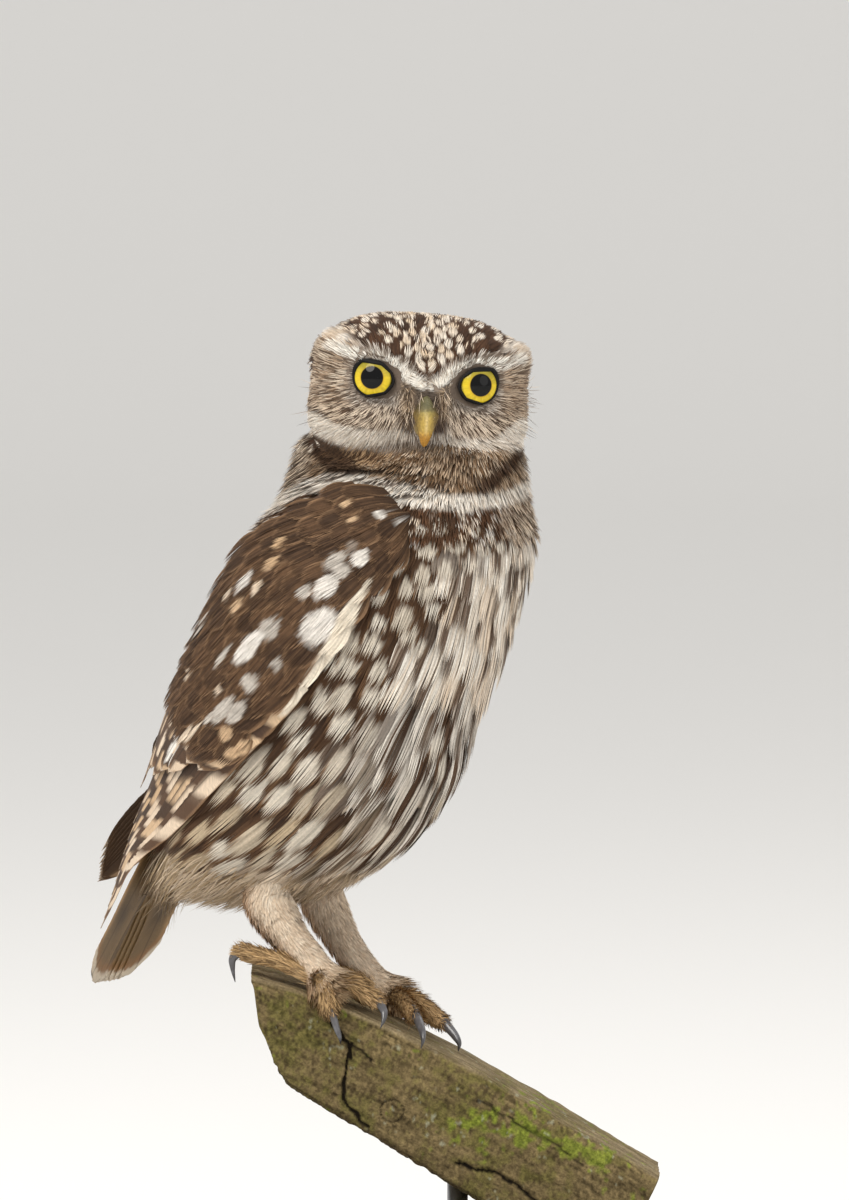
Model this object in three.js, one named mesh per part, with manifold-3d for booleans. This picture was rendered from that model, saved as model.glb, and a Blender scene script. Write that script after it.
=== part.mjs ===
// A little owl at life size, looking over its right shoulder, on a cut length of weathered branch held by a
// plain display stand. Millimetres, +Z up, with the origin in the middle of the stand's underside.
// The owl is modelled in its own frame: x forward along its heading, y to its left, z up.
import * as THREE from "three";
import { mergeVertices } from "three/addons/utils/BufferGeometryUtils.js";
import { ParametricGeometry } from "three/addons/geometries/ParametricGeometry.js";
import Module from "manifold-3d";

const wasm = await Module();
wasm.setup();

const { Vector3, Matrix4, MathUtils } = THREE;
const RIGHT = -1;
const LEFT = 1;
const SIDEWAYS = new Vector3(0, 1, 0);
const UPWARD = new Vector3(0, 0, 1);

// Clearance between nodes that touch, and how far the owl and its branch stand above the base's underside
const GAP = 0.3;
const LIFT = 8;

// The owl's place and heading over the stand
const OWL_X = -6.7;
const OWL_HEADING = -30;

// The trunk from the vent to the nape: height, middle's x and y, half width, half depth
const TRUNK_ROWS = [
  [112, -33.0, 0, 33.0, 39.0],
  [129, -28.3, 0, 34.5, 41.0],
  [146, -18.2, 0, 36.5, 42.0],
  [158, -12.0, 0, 39.5, 43.8],
  [170, -9.8, 0, 42.0, 45.6],
  [181, -5.6, 0, 43.5, 46.0],
  [193, -0.9, 0, 44.5, 46.8],
  [204, 2.9, 0, 44.5, 46.6],
  [216, 7.7, 0, 43.0, 46.6],
  [227, 12.8, 0, 39.5, 44.0],
  [239, 17.0, 0.5, 33.5, 38.0],
  [248, 17.4, 2.5, 25.0, 37.2],
  [259, 16.6, 4.0, 21.0, 34.0],
  [268, 17.0, 4.0, 18.0, 29.0],
];
const TRUNK_BOTTOM = 120.6;
const TRUNK_BOTTOM_CAP = 25.5;
const TRUNK_TOP = 266;
const TRUNK_TOP_CAP = 13;
const COLLAR_HEIGHT = 243;
const COLLAR_TILT = 6;

// The head, measured from its middle: superellipsoid half sizes, and its turn from the owl's heading
const HEAD_MIDDLE = new Vector3(22.5, 0, 270.6);
const HEAD_TURN = -54.5;
const HEAD_ROLL = -4.2;
const HEAD_FRONT = 20.5;
const HEAD_BACK = 27;
const HEAD_HALF_WIDTH = 31.2;
const HEAD_UP = 22.8;
const HEAD_DOWN = 22.5;
const HEAD_SQUARENESS = 2.8;

// Eyes
const EYE_RADIUS = 8.2;
const EYE_MIDDLE = new Vector3(12.4, 13.9, 3.7);
const EYE_TURN = 14;
const LID_RADIUS = 6.1;
const LID_THICKNESS = 0.9;

// Swellings and hollows of the head: place, height, spread. Those off the middle are on both sides.
const HEAD_FORMS = [
  { at: [19, 15.4, 3.2], rise: -2.6, spread: 6.5 },
  { at: [20, 6, 4], rise: 1.6, spread: 4 },
  { at: [19.5, 11, 9.5], rise: 2.0, spread: 4.5 },
  { at: [16.5, 19, 12], rise: 2.2, spread: 5 },
  { at: [9, 27, 12.5], rise: 1.8, spread: 6 },
  { at: [15, 17, -9], rise: 1.6, spread: 8 },
  { at: [21, 0, -3], rise: 3.2, spread: 6.5 },
  { at: [19, 0, -13], rise: 1.0, spread: 6 },
  { at: [14, 0, -20], rise: -1.5, spread: 6 },
  { at: [2, 29, -13], rise: 1.8, spread: 10 },
];

// Ribs of a folded wing from the wrist to the tip of the primaries: lower edge, middle, upper edge,
// each as forward, outward from the midline, and up
const WING_RIBS = [
  [[36, 34.5, 222], [29, 39.0, 234], [14, 34.0, 245]],
  [[20, 42.5, 197], [0, 45.2, 214], [-18.5, 27.5, 229]],
  [[-4, 44.2, 172], [-27, 40.0, 187], [-43.5, 15, 198]],
  [[-24, 40.0, 157], [-43, 30.5, 170], [-54, 10, 180]],
  [[-43, 32.0, 144], [-54, 24.0, 153], [-61.5, 7, 163]],
  [[-61, 24.5, 133], [-66, 17.0, 138], [-71, 5, 143]],
  [[-72.5, 16.0, 121], [-75.5, 11.0, 123.5], [-78.5, 4, 127]],
  [[-82.5, 11.0, 108], [-83.5, 7.5, 110], [-84.5, 4, 113]],
];
// The left wing is folded tighter, so its tip sits higher: how far its last ribs differ from the right one's
const LEFT_TIP_SHIFT = [
  [0, 0, 0],
  [0, 0, 0],
  [0, 0, 0],
  [-3, 0, 2],
  [-8, 0.5, 4],
  [-10, 1, 6],
  [-12, 0, 5],
  [-8.5, 0, 15],
];

// Tail
const TAIL_ROOT = new Vector3(-45, 0, 168);
const TAIL_TIP = new Vector3(-85, 0, 96.5);
const TAIL_FEATHERS = 12;
const TAIL_HALF_WIDTH = 19.5;

// Legs: points down the middle of a leg from the thigh to the ankle, with the leg's radius there
const LEG_SPREAD = 16.4;
const LEG_KNEE_HEIGHT = 118;
const TOE_RADIUS = 3.05;
const RIGHT_LEG = [
  { at: [-16, 133], radius: 5.5 },
  { at: [-18.5, 124], radius: 7.4 },
  { at: [-12.4, 114], radius: 5.5 },
  { at: [-4.4, 106], radius: 4.7 },
  { at: [-0.4, 101.5], radius: 4.3 },
];
const LEFT_LEG = [
  { at: [-17, 133], radius: 5.5 },
  { at: [-19.8, 124], radius: 7.0 },
  { at: [-14.2, 112], radius: 5.2 },
  { at: [-5.2, 101], radius: 4.5 },
  { at: [1.5, 95.5], radius: 4.2 },
];

// Branch: its outline seen from the camera's side, along X and Z, extruded through its depth
const BRANCH_DEPTH = 35;
const BRANCH_TILT = 4;
const BRANCH_AXIS = 85;
const BRANCH_EDGE = 2.2;
const BRANCH_TOP = [
  [-35.5, 103.8],
  [-11, 95.5],
  [36, 72.7],
  [83, 45],
];
const BRANCH_UNDER = [
  [67.5, 13.5],
  [27.6, 36.5],
  [4.4, 51],
  [-18.9, 65],
  [-28, 72],
  [-33, 84],
];

// Stand
const BASE_LENGTH = 176;
const BASE_WIDTH = 118;
const BASE_CORNER = 22;
const BASE_THICKNESS = 10;
const ROD_RADIUS = 3;
const ROD_PLACES = [24, 60];

const materials = {
  plumage: new THREE.MeshStandardMaterial({ color: 0x5b4232, roughness: 0.9, metalness: 0 }),
  barred: new THREE.MeshStandardMaterial({ color: 0x4a3425, roughness: 0.85, metalness: 0 }),
  breast: new THREE.MeshStandardMaterial({ color: 0xcdbfa9, roughness: 0.9, metalness: 0 }),
  leg: new THREE.MeshStandardMaterial({ color: 0xe3d2b8, roughness: 0.9, metalness: 0 }),
  toe: new THREE.MeshStandardMaterial({ color: 0x8a6a3d, roughness: 0.8, metalness: 0 }),
  horn: new THREE.MeshStandardMaterial({ color: 0x2b2b30, roughness: 0.35, metalness: 0 }),
  bill: new THREE.MeshStandardMaterial({ color: 0xb59a32, roughness: 0.4, metalness: 0 }),
  eye: new THREE.MeshStandardMaterial({ color: 0xe8cf1c, roughness: 0.05, metalness: 0 }),
  wood: new THREE.MeshStandardMaterial({ color: 0x6b6446, roughness: 0.95, metalness: 0 }),
  stand: new THREE.MeshStandardMaterial({ color: 0x2a211b, roughness: 0.5, metalness: 0 }),
  steel: new THREE.MeshStandardMaterial({ color: 0x8f9296, roughness: 0.35, metalness: 1 }),
};

// A closed geometry as a solid whose faces point out
function solidOf(geometry) {
  const bare = new THREE.BufferGeometry();
  bare.setAttribute("position", geometry.getAttribute("position"));
  if (geometry.index) bare.setIndex(geometry.index);
  const merged = mergeVertices(bare, 1e-4);
  const place = merged.getAttribute("position");
  const corners = [];
  const a = new Vector3();
  const b = new Vector3();
  const c = new Vector3();
  let sixVolumes = 0;
  for (let i = 0; i < merged.index.count; i += 3) {
    const [p, q, r] = [0, 1, 2].map((k) => merged.index.getX(i + k));
    if (p === q || q === r || r === p) continue;
    corners.push(p, q, r);
    a.fromBufferAttribute(place, p);
    b.fromBufferAttribute(place, q);
    c.fromBufferAttribute(place, r);
    sixVolumes += a.dot(b.cross(c));
  }
  if (sixVolumes < 0) {
    for (let i = 0; i < corners.length; i += 3) {
      [corners[i + 1], corners[i + 2]] = [corners[i + 2], corners[i + 1]];
    }
  }
  return new wasm.Manifold(
    new wasm.Mesh({
      numProp: 3,
      vertProperties: new Float32Array(place.array),
      triVerts: new Uint32Array(corners),
    }),
  );
}

// A solid as a geometry, keeping only its largest closed surface
function geometryOf(solid) {
  const bodies = solid.decompose().sort((one, other) => other.volume() - one.volume());
  const mesh = bodies[0].getMesh();
  const geometry = new THREE.BufferGeometry();
  geometry.setAttribute("position", new THREE.BufferAttribute(mesh.vertProperties, 3));
  geometry.setIndex(new THREE.BufferAttribute(mesh.triVerts, 1));
  geometry.computeVertexNormals();
  return geometry;
}

const union = (solids) => solids.reduce((sum, solid) => sum.add(solid));
const moved = (solid, matrix) => solid.transform(matrix.elements);
const gauss = (distance, spread) => Math.exp(-((distance / spread) ** 2));

// The values of a table at x, by a Catmull-Rom curve through its rows
function smoothRow(rows, x) {
  let i = 0;
  while (i < rows.length - 2 && rows[i + 1][0] <= x) i += 1;
  const before = rows[Math.max(i - 1, 0)];
  const from = rows[i];
  const to = rows[i + 1];
  const after = rows[Math.min(i + 2, rows.length - 1)];
  const t = (x - from[0]) / (to[0] - from[0]);
  return from.slice(1).map((_, k) => {
    const startSlope = (to[k + 1] - before[k + 1]) / (to[0] - before[0]);
    const endSlope = (after[k + 1] - from[k + 1]) / (after[0] - from[0]);
    const span = to[0] - from[0];
    const h1 = 2 * t ** 3 - 3 * t ** 2 + 1;
    const h2 = t ** 3 - 2 * t ** 2 + t;
    const h3 = t ** 3 - t ** 2;
    return h1 * from[k + 1] + (1 - h1) * to[k + 1] + span * (h2 * startSlope + h3 * endSlope);
  });
}

// A closed tube along a curve; sizeAt gives its half width along the side direction and its half thickness
function sweepGeometry(curve, side, sizeAt, sides, steps) {
  const sideways = new Vector3();
  const upward = new Vector3();
  return new ParametricGeometry(
    (u, v, target) => {
      const along = MathUtils.clamp((v * (steps + 2) - 1) / steps, 0, 1);
      const atEnd = v < 1e-6 || v > 1 - 1e-6;
      const tangent = curve.getTangent(along);
      sideways.copy(side).addScaledVector(tangent, -side.dot(tangent)).normalize();
      upward.crossVectors(sideways, tangent);
      const [across, thick] = atEnd ? [0, 0] : sizeAt(along);
      const angle = 2 * Math.PI * u;
      target.copy(curve.getPoint(along));
      target.addScaledVector(sideways, across * Math.cos(angle));
      target.addScaledVector(upward, thick * Math.sin(angle));
    },
    sides,
    steps + 2,
  );
}

// A thin closed blade: place(s, t, side) gives its upper (side 1) and lower (side -1) face, s from 0 to 1 along
// it and t from -1 to 1 across it. Both faces are split into triangles alike.
function bladeGeometry(place, along, across) {
  const points = [];
  const corners = [];
  const row = across + 1;
  const face = (along + 1) * row;
  for (const side of [1, -1]) {
    for (let i = 0; i <= along; i += 1) {
      for (let j = 0; j <= across; j += 1) {
        points.push(...place(i / along, (2 * j) / across - 1, side).toArray());
      }
    }
  }
  const quad = (a, b, c, d) => corners.push(a, b, c, a, c, d);
  for (let i = 0; i < along; i += 1) {
    for (let j = 0; j < across; j += 1) {
      const a = i * row + j;
      const [b, c, d] = [a + row, a + row + 1, a + 1];
      corners.push(a, b, c, a, c, d);
      corners.push(face + a, face + c, face + b, face + a, face + d, face + c);
    }
    const left = i * row;
    const right = i * row + across;
    quad(left, face + left, face + left + row, left + row);
    quad(right, right + row, face + right + row, face + right);
  }
  for (let j = 0; j < across; j += 1) {
    const far = along * row + j;
    quad(j, j + 1, face + j + 1, face + j);
    quad(far, face + far, face + far + 1, far + 1);
  }
  const geometry = new THREE.BufferGeometry();
  geometry.setAttribute("position", new THREE.Float32BufferAttribute(points, 3));
  geometry.setIndex(corners);
  return geometry;
}

// Trunk, neck and head

function trunkPoint(angle, height, grow) {
  const [middleX, middleY, halfWidth, halfDepth] = smoothRow(TRUNK_ROWS, height);
  const below = Math.max(0, TRUNK_BOTTOM + TRUNK_BOTTOM_CAP - height) / (TRUNK_BOTTOM_CAP + grow);
  const above = Math.max(0, height - (TRUNK_TOP - TRUNK_TOP_CAP)) / (TRUNK_TOP_CAP + grow);
  const cap = Math.sqrt(Math.max(0, 1 - below ** 2)) * Math.sqrt(Math.max(0, 1 - above ** 2));
  return new Vector3(
    middleX + (halfDepth + grow) * cap * Math.cos(angle),
    middleY + (halfWidth + grow) * cap * Math.sin(angle),
    height,
  );
}

function trunkSolid(grow = 0) {
  const low = TRUNK_BOTTOM - grow;
  const high = TRUNK_TOP + grow;
  const surface = (u, v, target) => {
    const height = MathUtils.lerp(low, high, (1 - Math.cos(Math.PI * v)) / 2);
    target.copy(trunkPoint(2 * Math.PI * u, height, grow));
  };
  return solidOf(new ParametricGeometry(surface, 26, 20));
}

function headPoint(direction, grow) {
  const depth = direction.x > 0 ? HEAD_FRONT : HEAD_BACK;
  const height = direction.z > 0 ? HEAD_UP : HEAD_DOWN;
  const sum =
    Math.abs(direction.x / depth) ** HEAD_SQUARENESS +
    Math.abs(direction.y / HEAD_HALF_WIDTH) ** HEAD_SQUARENESS +
    Math.abs(direction.z / height) ** HEAD_SQUARENESS;
  const base = sum ** (-1 / HEAD_SQUARENESS);
  const skin = direction.clone().multiplyScalar(base);
  let rise = grow;
  for (const form of HEAD_FORMS) {
    const [x, y, z] = form.at;
    for (const side of y ? [-1, 1] : [1]) {
      rise += form.rise * gauss(skin.distanceTo(new Vector3(x, side * y, z)), form.spread);
    }
  }
  return direction.clone().multiplyScalar(base + rise);
}

function headSolid(grow = 0) {
  const surface = (u, v, target) => {
    const azimuth = 2 * Math.PI * u - 0.45 * Math.sin(2 * Math.PI * u);
    const latitude = Math.PI * (v - 0.5);
    const direction = new Vector3(
      Math.cos(latitude) * Math.cos(azimuth),
      Math.cos(latitude) * Math.sin(azimuth),
      Math.sin(latitude),
    );
    target.copy(headPoint(direction, grow));
  };
  return solidOf(new ParametricGeometry(surface, 32, 20));
}

function ballSolid(middle, radius, columns, rows) {
  const ball = new THREE.SphereGeometry(radius, columns, rows);
  ball.translate(middle.x, middle.y, middle.z);
  return solidOf(ball);
}

const eyeMiddle = (side) => new Vector3(EYE_MIDDLE.x, side * EYE_MIDDLE.y, EYE_MIDDLE.z);

function lidSolid(side) {
  const ring = new THREE.TorusGeometry(LID_RADIUS, LID_THICKNESS, 5, 14);
  const turn = MathUtils.degToRad(EYE_TURN);
  ring.rotateY(Math.PI / 2);
  ring.rotateZ(side * turn);
  const middle = eyeMiddle(side);
  const reach = Math.sqrt(EYE_RADIUS ** 2 - LID_RADIUS ** 2) + 0.8;
  ring.translate(middle.x + reach * Math.cos(turn), middle.y + side * reach * Math.sin(turn), middle.z);
  return solidOf(ring);
}

// The bill: upper and lower mandible, in the head's frame

const upperBillLine = new THREE.CatmullRomCurve3([
  new Vector3(16, 0, -2.4),
  new Vector3(22.5, 0, -1.8),
  new Vector3(26.2, 0, -4.4),
  new Vector3(27.6, 0, -9.2),
  new Vector3(26.4, 0, -14.9),
]);
const lowerBillLine = new THREE.CatmullRomCurve3([
  new Vector3(15, 0, -8),
  new Vector3(21, 0, -9.4),
  new Vector3(24.4, 0, -12),
]);

function upperBillSolid(grow = 0) {
  const size = (t) => {
    const taper = Math.sqrt(Math.max(0, 1 - t ** 2.6));
    return [(3.7 - 0.5 * t) * taper + 0.25 + grow, (3.5 - 0.9 * t) * taper + 0.25 + grow];
  };
  return solidOf(sweepGeometry(upperBillLine, SIDEWAYS, size, 12, 8));
}

function lowerBillSolid() {
  const size = (t) => [2.9 * Math.sqrt(1 - t ** 3) + 0.3, 2.2 * Math.sqrt(1 - t ** 3) + 0.3];
  return solidOf(sweepGeometry(lowerBillLine, SIDEWAYS, size, 8, 4));
}

// Wings

function wingRibs(side) {
  return WING_RIBS.map((rib, i) =>
    rib.map(([forward, outward, up]) => {
      const shift = side === LEFT ? LEFT_TIP_SHIFT[i] : [0, 0, 0];
      return new Vector3(forward + shift[0], side * (outward + shift[1]), up + shift[2]);
    }),
  );
}

// The surface of a folded wing: p from the wrist to the tip, q from the lower edge to the upper edge
class WingSurface {
  constructor(side) {
    const ribs = wingRibs(side);
    this.side = side;
    this.edges = [0, 1, 2].map((k) => new THREE.CatmullRomCurve3(ribs.map((rib) => rib[k])));
  }

  point(p, q) {
    const [low, middle, high] = this.edges.map((edge) => edge.getPoint(MathUtils.clamp(p, 0, 1)));
    const result = low.multiplyScalar((1 - q) * (1 - 2 * q));
    result.addScaledVector(middle, 4 * q * (1 - q));
    return result.addScaledVector(high, q * (2 * q - 1));
  }

  frame(p, q) {
    const step = 0.01;
    const inside = MathUtils.clamp(p, step, 1 - step);
    const along = this.point(inside + step, q).sub(this.point(inside - step, q));
    const across = this.point(inside, q + step).sub(this.point(inside, q - step));
    const normal = new Vector3().crossVectors(along, across).multiplyScalar(this.side).normalize();
    return { normal, width: across.length() / (2 * step), length: along.length() / (2 * step) };
  }

  raised(p, q, height) {
    return this.point(p, q).addScaledVector(this.frame(p, q).normal, height);
  }
}

// A feather's half width along its length, as a share of its widest: round at the tip
function vaneOutline(s) {
  return (0.66 + 0.34 * Math.sin(Math.PI * Math.min(1, 1.2 * s))) * Math.sqrt(Math.max(0.2, 1 - s ** 6));
}

// One feather laid on a wing's surface. It runs from root to tip, both given as [p, q, height].
function wingVane(wing, { root, tip, halfWidth, thickness = 0.8, bow = 0 }) {
  const place = (s, t, side) => {
    const eased = (1 - (1 - s) ** 1.45) * (1 - 0.06 * t * t);
    const p = MathUtils.lerp(root[0], tip[0], eased);
    const q = MathUtils.lerp(root[1], tip[1], eased) + bow * Math.sin(Math.PI * eased);
    const { width } = wing.frame(p, q);
    const shift = (t * halfWidth * vaneOutline(eased)) / Math.max(width, 8);
    const height = MathUtils.lerp(root[2], tip[2], eased) + 0.5 * thickness * side - 0.35 * t * t;
    return wing.raised(p, q + shift, height);
  };
  return solidOf(bladeGeometry(place, 3, 2));
}

// A slab of a wing between two p and two q values, from one height to another
function wingSlab(wing, { from, to, low, high, under, over, along, across }) {
  const place = (s, t, side) => {
    const p = MathUtils.lerp(from, to, s);
    const q = MathUtils.lerp(low, high, (t + 1) / 2);
    const edge = Math.sqrt(Math.max(0, 1 - t ** 6)) * Math.sqrt(Math.max(0, 1 - (1 - s) ** 5));
    return wing.raised(p, q, side > 0 ? under + (over - under) * (0.25 + 0.75 * edge) : under);
  };
  return solidOf(bladeGeometry(place, along, across));
}

const COVERT_TIERS = [
  { count: 4, from: 0.06, to: 0.21, low: 0.12, high: 0.62, halfWidth: 7.4, height: 3.0 },
  { count: 5, from: 0.18, to: 0.35, low: 0.07, high: 0.66, halfWidth: 7, height: 2.8 },
];
const SCAPULARS = [
  { from: 0.05, to: 0.25, q: 0.76, end: 0.76 },
  { from: 0.12, to: 0.36, q: 0.9, end: 0.88 },
  { from: 0.2, to: 0.43, q: 0.8, end: 0.84 },
];
const SHELL_END = 0.3;
const REMEX_START = SHELL_END - 0.03;

// The shoulder and forearm with their tiers of covert and scapular feathers
function covertsSolid(wing, bodyCut) {
  const slab = { from: 0, to: SHELL_END, low: 0, high: 1, under: -4, over: 2.2, along: 6, across: 3 };
  const pieces = [wingSlab(wing, slab)];
  for (const tier of COVERT_TIERS) {
    for (let i = 0; i < tier.count; i += 1) {
      const share = i / (tier.count - 1);
      const q = MathUtils.lerp(tier.low, tier.high, share);
      const stagger = 0.025 * share + 0.012 * (i % 2);
      pieces.push(
        wingVane(wing, {
          root: [tier.from + stagger, q, tier.height - 2.2],
          tip: [tier.to + stagger, q + 0.03, tier.height + 0.5 + 0.1 * (i % 3)],
          halfWidth: tier.halfWidth,
          thickness: 0.9,
        }),
      );
    }
  }
  SCAPULARS.forEach((feather, i) => {
    pieces.push(
      wingVane(wing, {
        root: [feather.from, feather.q, 1.6],
        tip: [feather.to, feather.end, 3.1 - 0.4 * (i % 2)],
        halfWidth: 7,
        thickness: 0.9,
      }),
    );
  });
  return union(pieces).subtract(bodyCut);
}

// The secondaries and tertials, fanned over the primaries, from below the coverts
function secondariesSolid(wing, bodyCut) {
  const count = 7;
  const root = { from: REMEX_START + 0.035, to: 0.44, low: 0.1, high: 0.97, under: 0.7, over: 1.9 };
  const pieces = [wingSlab(wing, { ...root, along: 4, across: 4 })];
  for (let i = 0; i < count; i += 1) {
    const share = i / (count - 1);
    const q = MathUtils.lerp(0.14, 0.9, share);
    pieces.push(
      wingVane(wing, {
        root: [0.36, q, 1.2],
        tip: [0.5 + 0.13 * share, q * 0.97 + 0.01, 2.4 - 0.11 * i],
        halfWidth: 6.8 - 0.8 * share,
        thickness: 0.8,
      }),
    );
  }
  return union(pieces).subtract(bodyCut);
}

// The primaries, the longest flight feathers, stacked to the wing's tip
function primariesSolid(wing, bodyCut) {
  const count = 6;
  const root = { from: REMEX_START + 0.035, to: 0.58, low: 0.0, high: 0.5, under: -1.6, over: 0.1 };
  const pieces = [wingSlab(wing, { ...root, along: 4, across: 3 })];
  for (let i = 0; i < count; i += 1) {
    const share = i / (count - 1);
    pieces.push(
      wingVane(wing, {
        root: [0.5, MathUtils.lerp(0.12, 0.42, share), -0.7],
        tip: [MathUtils.lerp(0.99, 0.7, share ** 1.2), MathUtils.lerp(0.35, 0.7, share), -1.3 + 0.2 * i],
        halfWidth: 4.6,
        thickness: 0.75,
        bow: -0.06,
      }),
    );
  }
  return union(pieces).subtract(bodyCut);
}

// Tail: twelve feathers laid over one another from the outer pair up to the middle pair

function tailSolid(bodyCut) {
  const down = TAIL_TIP.clone().sub(TAIL_ROOT);
  const length = down.length();
  down.normalize();
  const out = new Vector3(down.z, 0, -down.x);
  const feather = (share, rank) => {
    const reach = length * (1 - 0.1 * share ** 2);
    const place = (s, t, side) => {
      const eased = (1 - (1 - s) ** 1.45) * (1 - 0.05 * t * t);
      const middle = share * (TAIL_HALF_WIDTH - 6) * (0.72 + 0.28 * eased);
      const across = middle + t * 6.2 * vaneOutline(eased);
      const height = -0.42 * rank + 0.5 * side * 0.8 - 0.3 * t * t - 0.004 * across * across;
      const at = TAIL_ROOT.clone().addScaledVector(down, reach * eased);
      return at.addScaledVector(out, height).add(new Vector3(0, across, 0));
    };
    return solidOf(bladeGeometry(place, 4, 2));
  };
  const pieces = [];
  for (let i = 0; i < TAIL_FEATHERS / 2; i += 1) {
    const share = (i + 0.5) / (TAIL_FEATHERS / 2 - 0.5);
    pieces.push(feather(share, i), feather(-share, i));
  }
  const rump = (s, t, side) => {
    const at = TAIL_ROOT.clone().addScaledVector(down, length * (0.02 + 0.36 * s));
    const across = t * 12 * (1 - 0.2 * s);
    return at.addScaledVector(out, side > 0 ? 0.9 - 0.6 * s : -3.4 + 1.2 * s).add(new Vector3(0, across, 0));
  };
  pieces.push(solidOf(bladeGeometry(rump, 3, 3)));
  return union(pieces).subtract(bodyCut);
}

// Legs and feet

function legSolid(rows, side, grow = 0) {
  const points = rows.map(({ at }) => new Vector3(at[0], side * LEG_SPREAD, at[1]));
  const curve = new THREE.CatmullRomCurve3(points);
  const radii = rows.map(({ radius }, i) => [i / (rows.length - 1), radius]);
  const size = (t) => {
    const [radius] = smoothRow(radii, t);
    return [radius * 0.93 + grow, radius + grow];
  };
  return solidOf(sweepGeometry(curve, SIDEWAYS, size, 10, 7));
}

// A toe through three points, from the ball of the foot to its last joint, with a pad under each joint
function toeSolid(points) {
  const size = (t) => {
    const thick = (TOE_RADIUS - 0.4 * t) * (1 + 0.07 * Math.cos(4 * Math.PI * t));
    return [thick, thick];
  };
  const across = points[2].clone().sub(points[0]).cross(UPWARD).normalize();
  return solidOf(sweepGeometry(new THREE.CatmullRomCurve3(points), across, size, 6, 4));
}

// A hooked claw from the toe's end to its tip, bowed away from the branch
function clawSolid(root, tip, toeDirection, grow = 0) {
  const span = tip.clone().sub(root);
  const bow = toeDirection.clone().multiplyScalar(0.34 * span.length());
  const start = root.clone().addScaledVector(toeDirection, -1.5).add(new Vector3(0, 0, 1.3));
  const at = (share, bulge) => start.clone().addScaledVector(span, share).addScaledVector(bow, bulge);
  const hook = new THREE.CatmullRomCurve3([start, at(0.14, 0.72), at(0.42, 1.06), at(0.74, 0.8), tip]);
  const size = (t) => [1.3 * (1 - t) ** 0.8 + 0.14 + grow, 1.55 * (1 - t) ** 0.8 + 0.16 + grow];
  const across = span.clone().cross(toeDirection).normalize();
  return solidOf(sweepGeometry(hook, across, size, 6, 6));
}

// The feet, placed over the stand rather than in the owl's frame: the ball of the foot, then for each toe
// (hind, outer, middle, inner) its middle joint, its last joint and the tip of its claw
const FEET = {
  right: {
    side: RIGHT,
    ball: [-16.5, -14, 100.4],
    toes: [
      [[-27, -13.5, 105.6], [-37.2, -13, 108.2], [-40.4, -13.6, 100]],
      [[-15.4, -18.6, 100.4], [-13.4, -20.9, 93.8], [-9.8, -22.6, 82.6]],
      [[-8.4, -15.2, 100.2], [-1.2, -14.6, 95.6], [1.7, -18.7, 87]],
      [[-9.5, -9, 99.4], [-2.6, -5.6, 95], [3.2, -4.6, 91]],
    ],
  },
  left: {
    side: LEFT,
    ball: [4.2, 11.5, 93.8],
    toes: [
      [[-4.5, 12.4, 98], [-11.5, 12.8, 100], [-17.4, 13, 98.9]],
      [[9, 15, 92.6], [14.4, 16.4, 88.6], [18.6, 19, 83]],
      [[12, 7.4, 92.6], [18.2, 3.4, 87.6], [24.2, -2, 79]],
      [[7.6, 1.6, 93.8], [11.4, -8.4, 89.6], [13.4, -18.4, 81]],
    ],
  },
};

// Branch and stand

function branchSolid() {
  const outline = new THREE.Shape();
  outline.moveTo(...BRANCH_TOP[0]);
  outline.splineThru(BRANCH_TOP.slice(1).map(([x, z]) => new THREE.Vector2(x, z)));
  outline.lineTo(...BRANCH_UNDER[0]);
  outline.splineThru(BRANCH_UNDER.slice(1).map(([x, z]) => new THREE.Vector2(x, z)));
  outline.closePath();
  const beam = new THREE.ExtrudeGeometry(outline, {
    depth: BRANCH_DEPTH - 2 * BRANCH_EDGE,
    bevelEnabled: true,
    bevelSize: BRANCH_EDGE * 0.6,
    bevelThickness: BRANCH_EDGE,
    bevelOffset: -BRANCH_EDGE * 0.6,
    bevelSegments: 1,
    curveSegments: 4,
  });
  beam.rotateX(Math.PI / 2);
  beam.translate(0, BRANCH_DEPTH / 2 - BRANCH_EDGE, -BRANCH_AXIS);
  beam.rotateX(MathUtils.degToRad(BRANCH_TILT));
  beam.translate(0, 0, BRANCH_AXIS);
  return solidOf(beam);
}

function baseGeometry() {
  const [x, y, r] = [BASE_LENGTH / 2, BASE_WIDTH / 2, BASE_CORNER];
  const outline = new THREE.Shape();
  outline.moveTo(x, y - r);
  outline.absarc(x - r, y - r, r, 0, Math.PI / 2);
  outline.absarc(-x + r, y - r, r, Math.PI / 2, Math.PI);
  outline.absarc(-x + r, -y + r, r, Math.PI, 1.5 * Math.PI);
  outline.absarc(x - r, -y + r, r, 1.5 * Math.PI, 2 * Math.PI);
  outline.closePath();
  const plate = new THREE.ExtrudeGeometry(outline, {
    depth: BASE_THICKNESS - 1.5,
    bevelEnabled: true,
    bevelSize: 1.5,
    bevelThickness: 0.75,
    bevelOffset: -1.5,
    bevelSegments: 1,
    curveSegments: 4,
  });
  plate.translate(0, 0, 0.75);
  return plate;
}

// Assembly

const part = new THREE.Group();
const owl = new THREE.Group();
owl.position.set(OWL_X, 0, LIFT);
owl.rotation.z = MathUtils.degToRad(OWL_HEADING);
owl.updateMatrix();
part.add(owl);

const head = new THREE.Group();
head.position.copy(HEAD_MIDDLE);
head.rotation.set(MathUtils.degToRad(HEAD_ROLL), 0, MathUtils.degToRad(HEAD_TURN), "ZXY");
head.updateMatrix();
owl.add(head);

function addMesh(group, name, geometry, material) {
  const mesh = new THREE.Mesh(geometry, material);
  mesh.name = name;
  group.add(mesh);
  return mesh;
}

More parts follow.
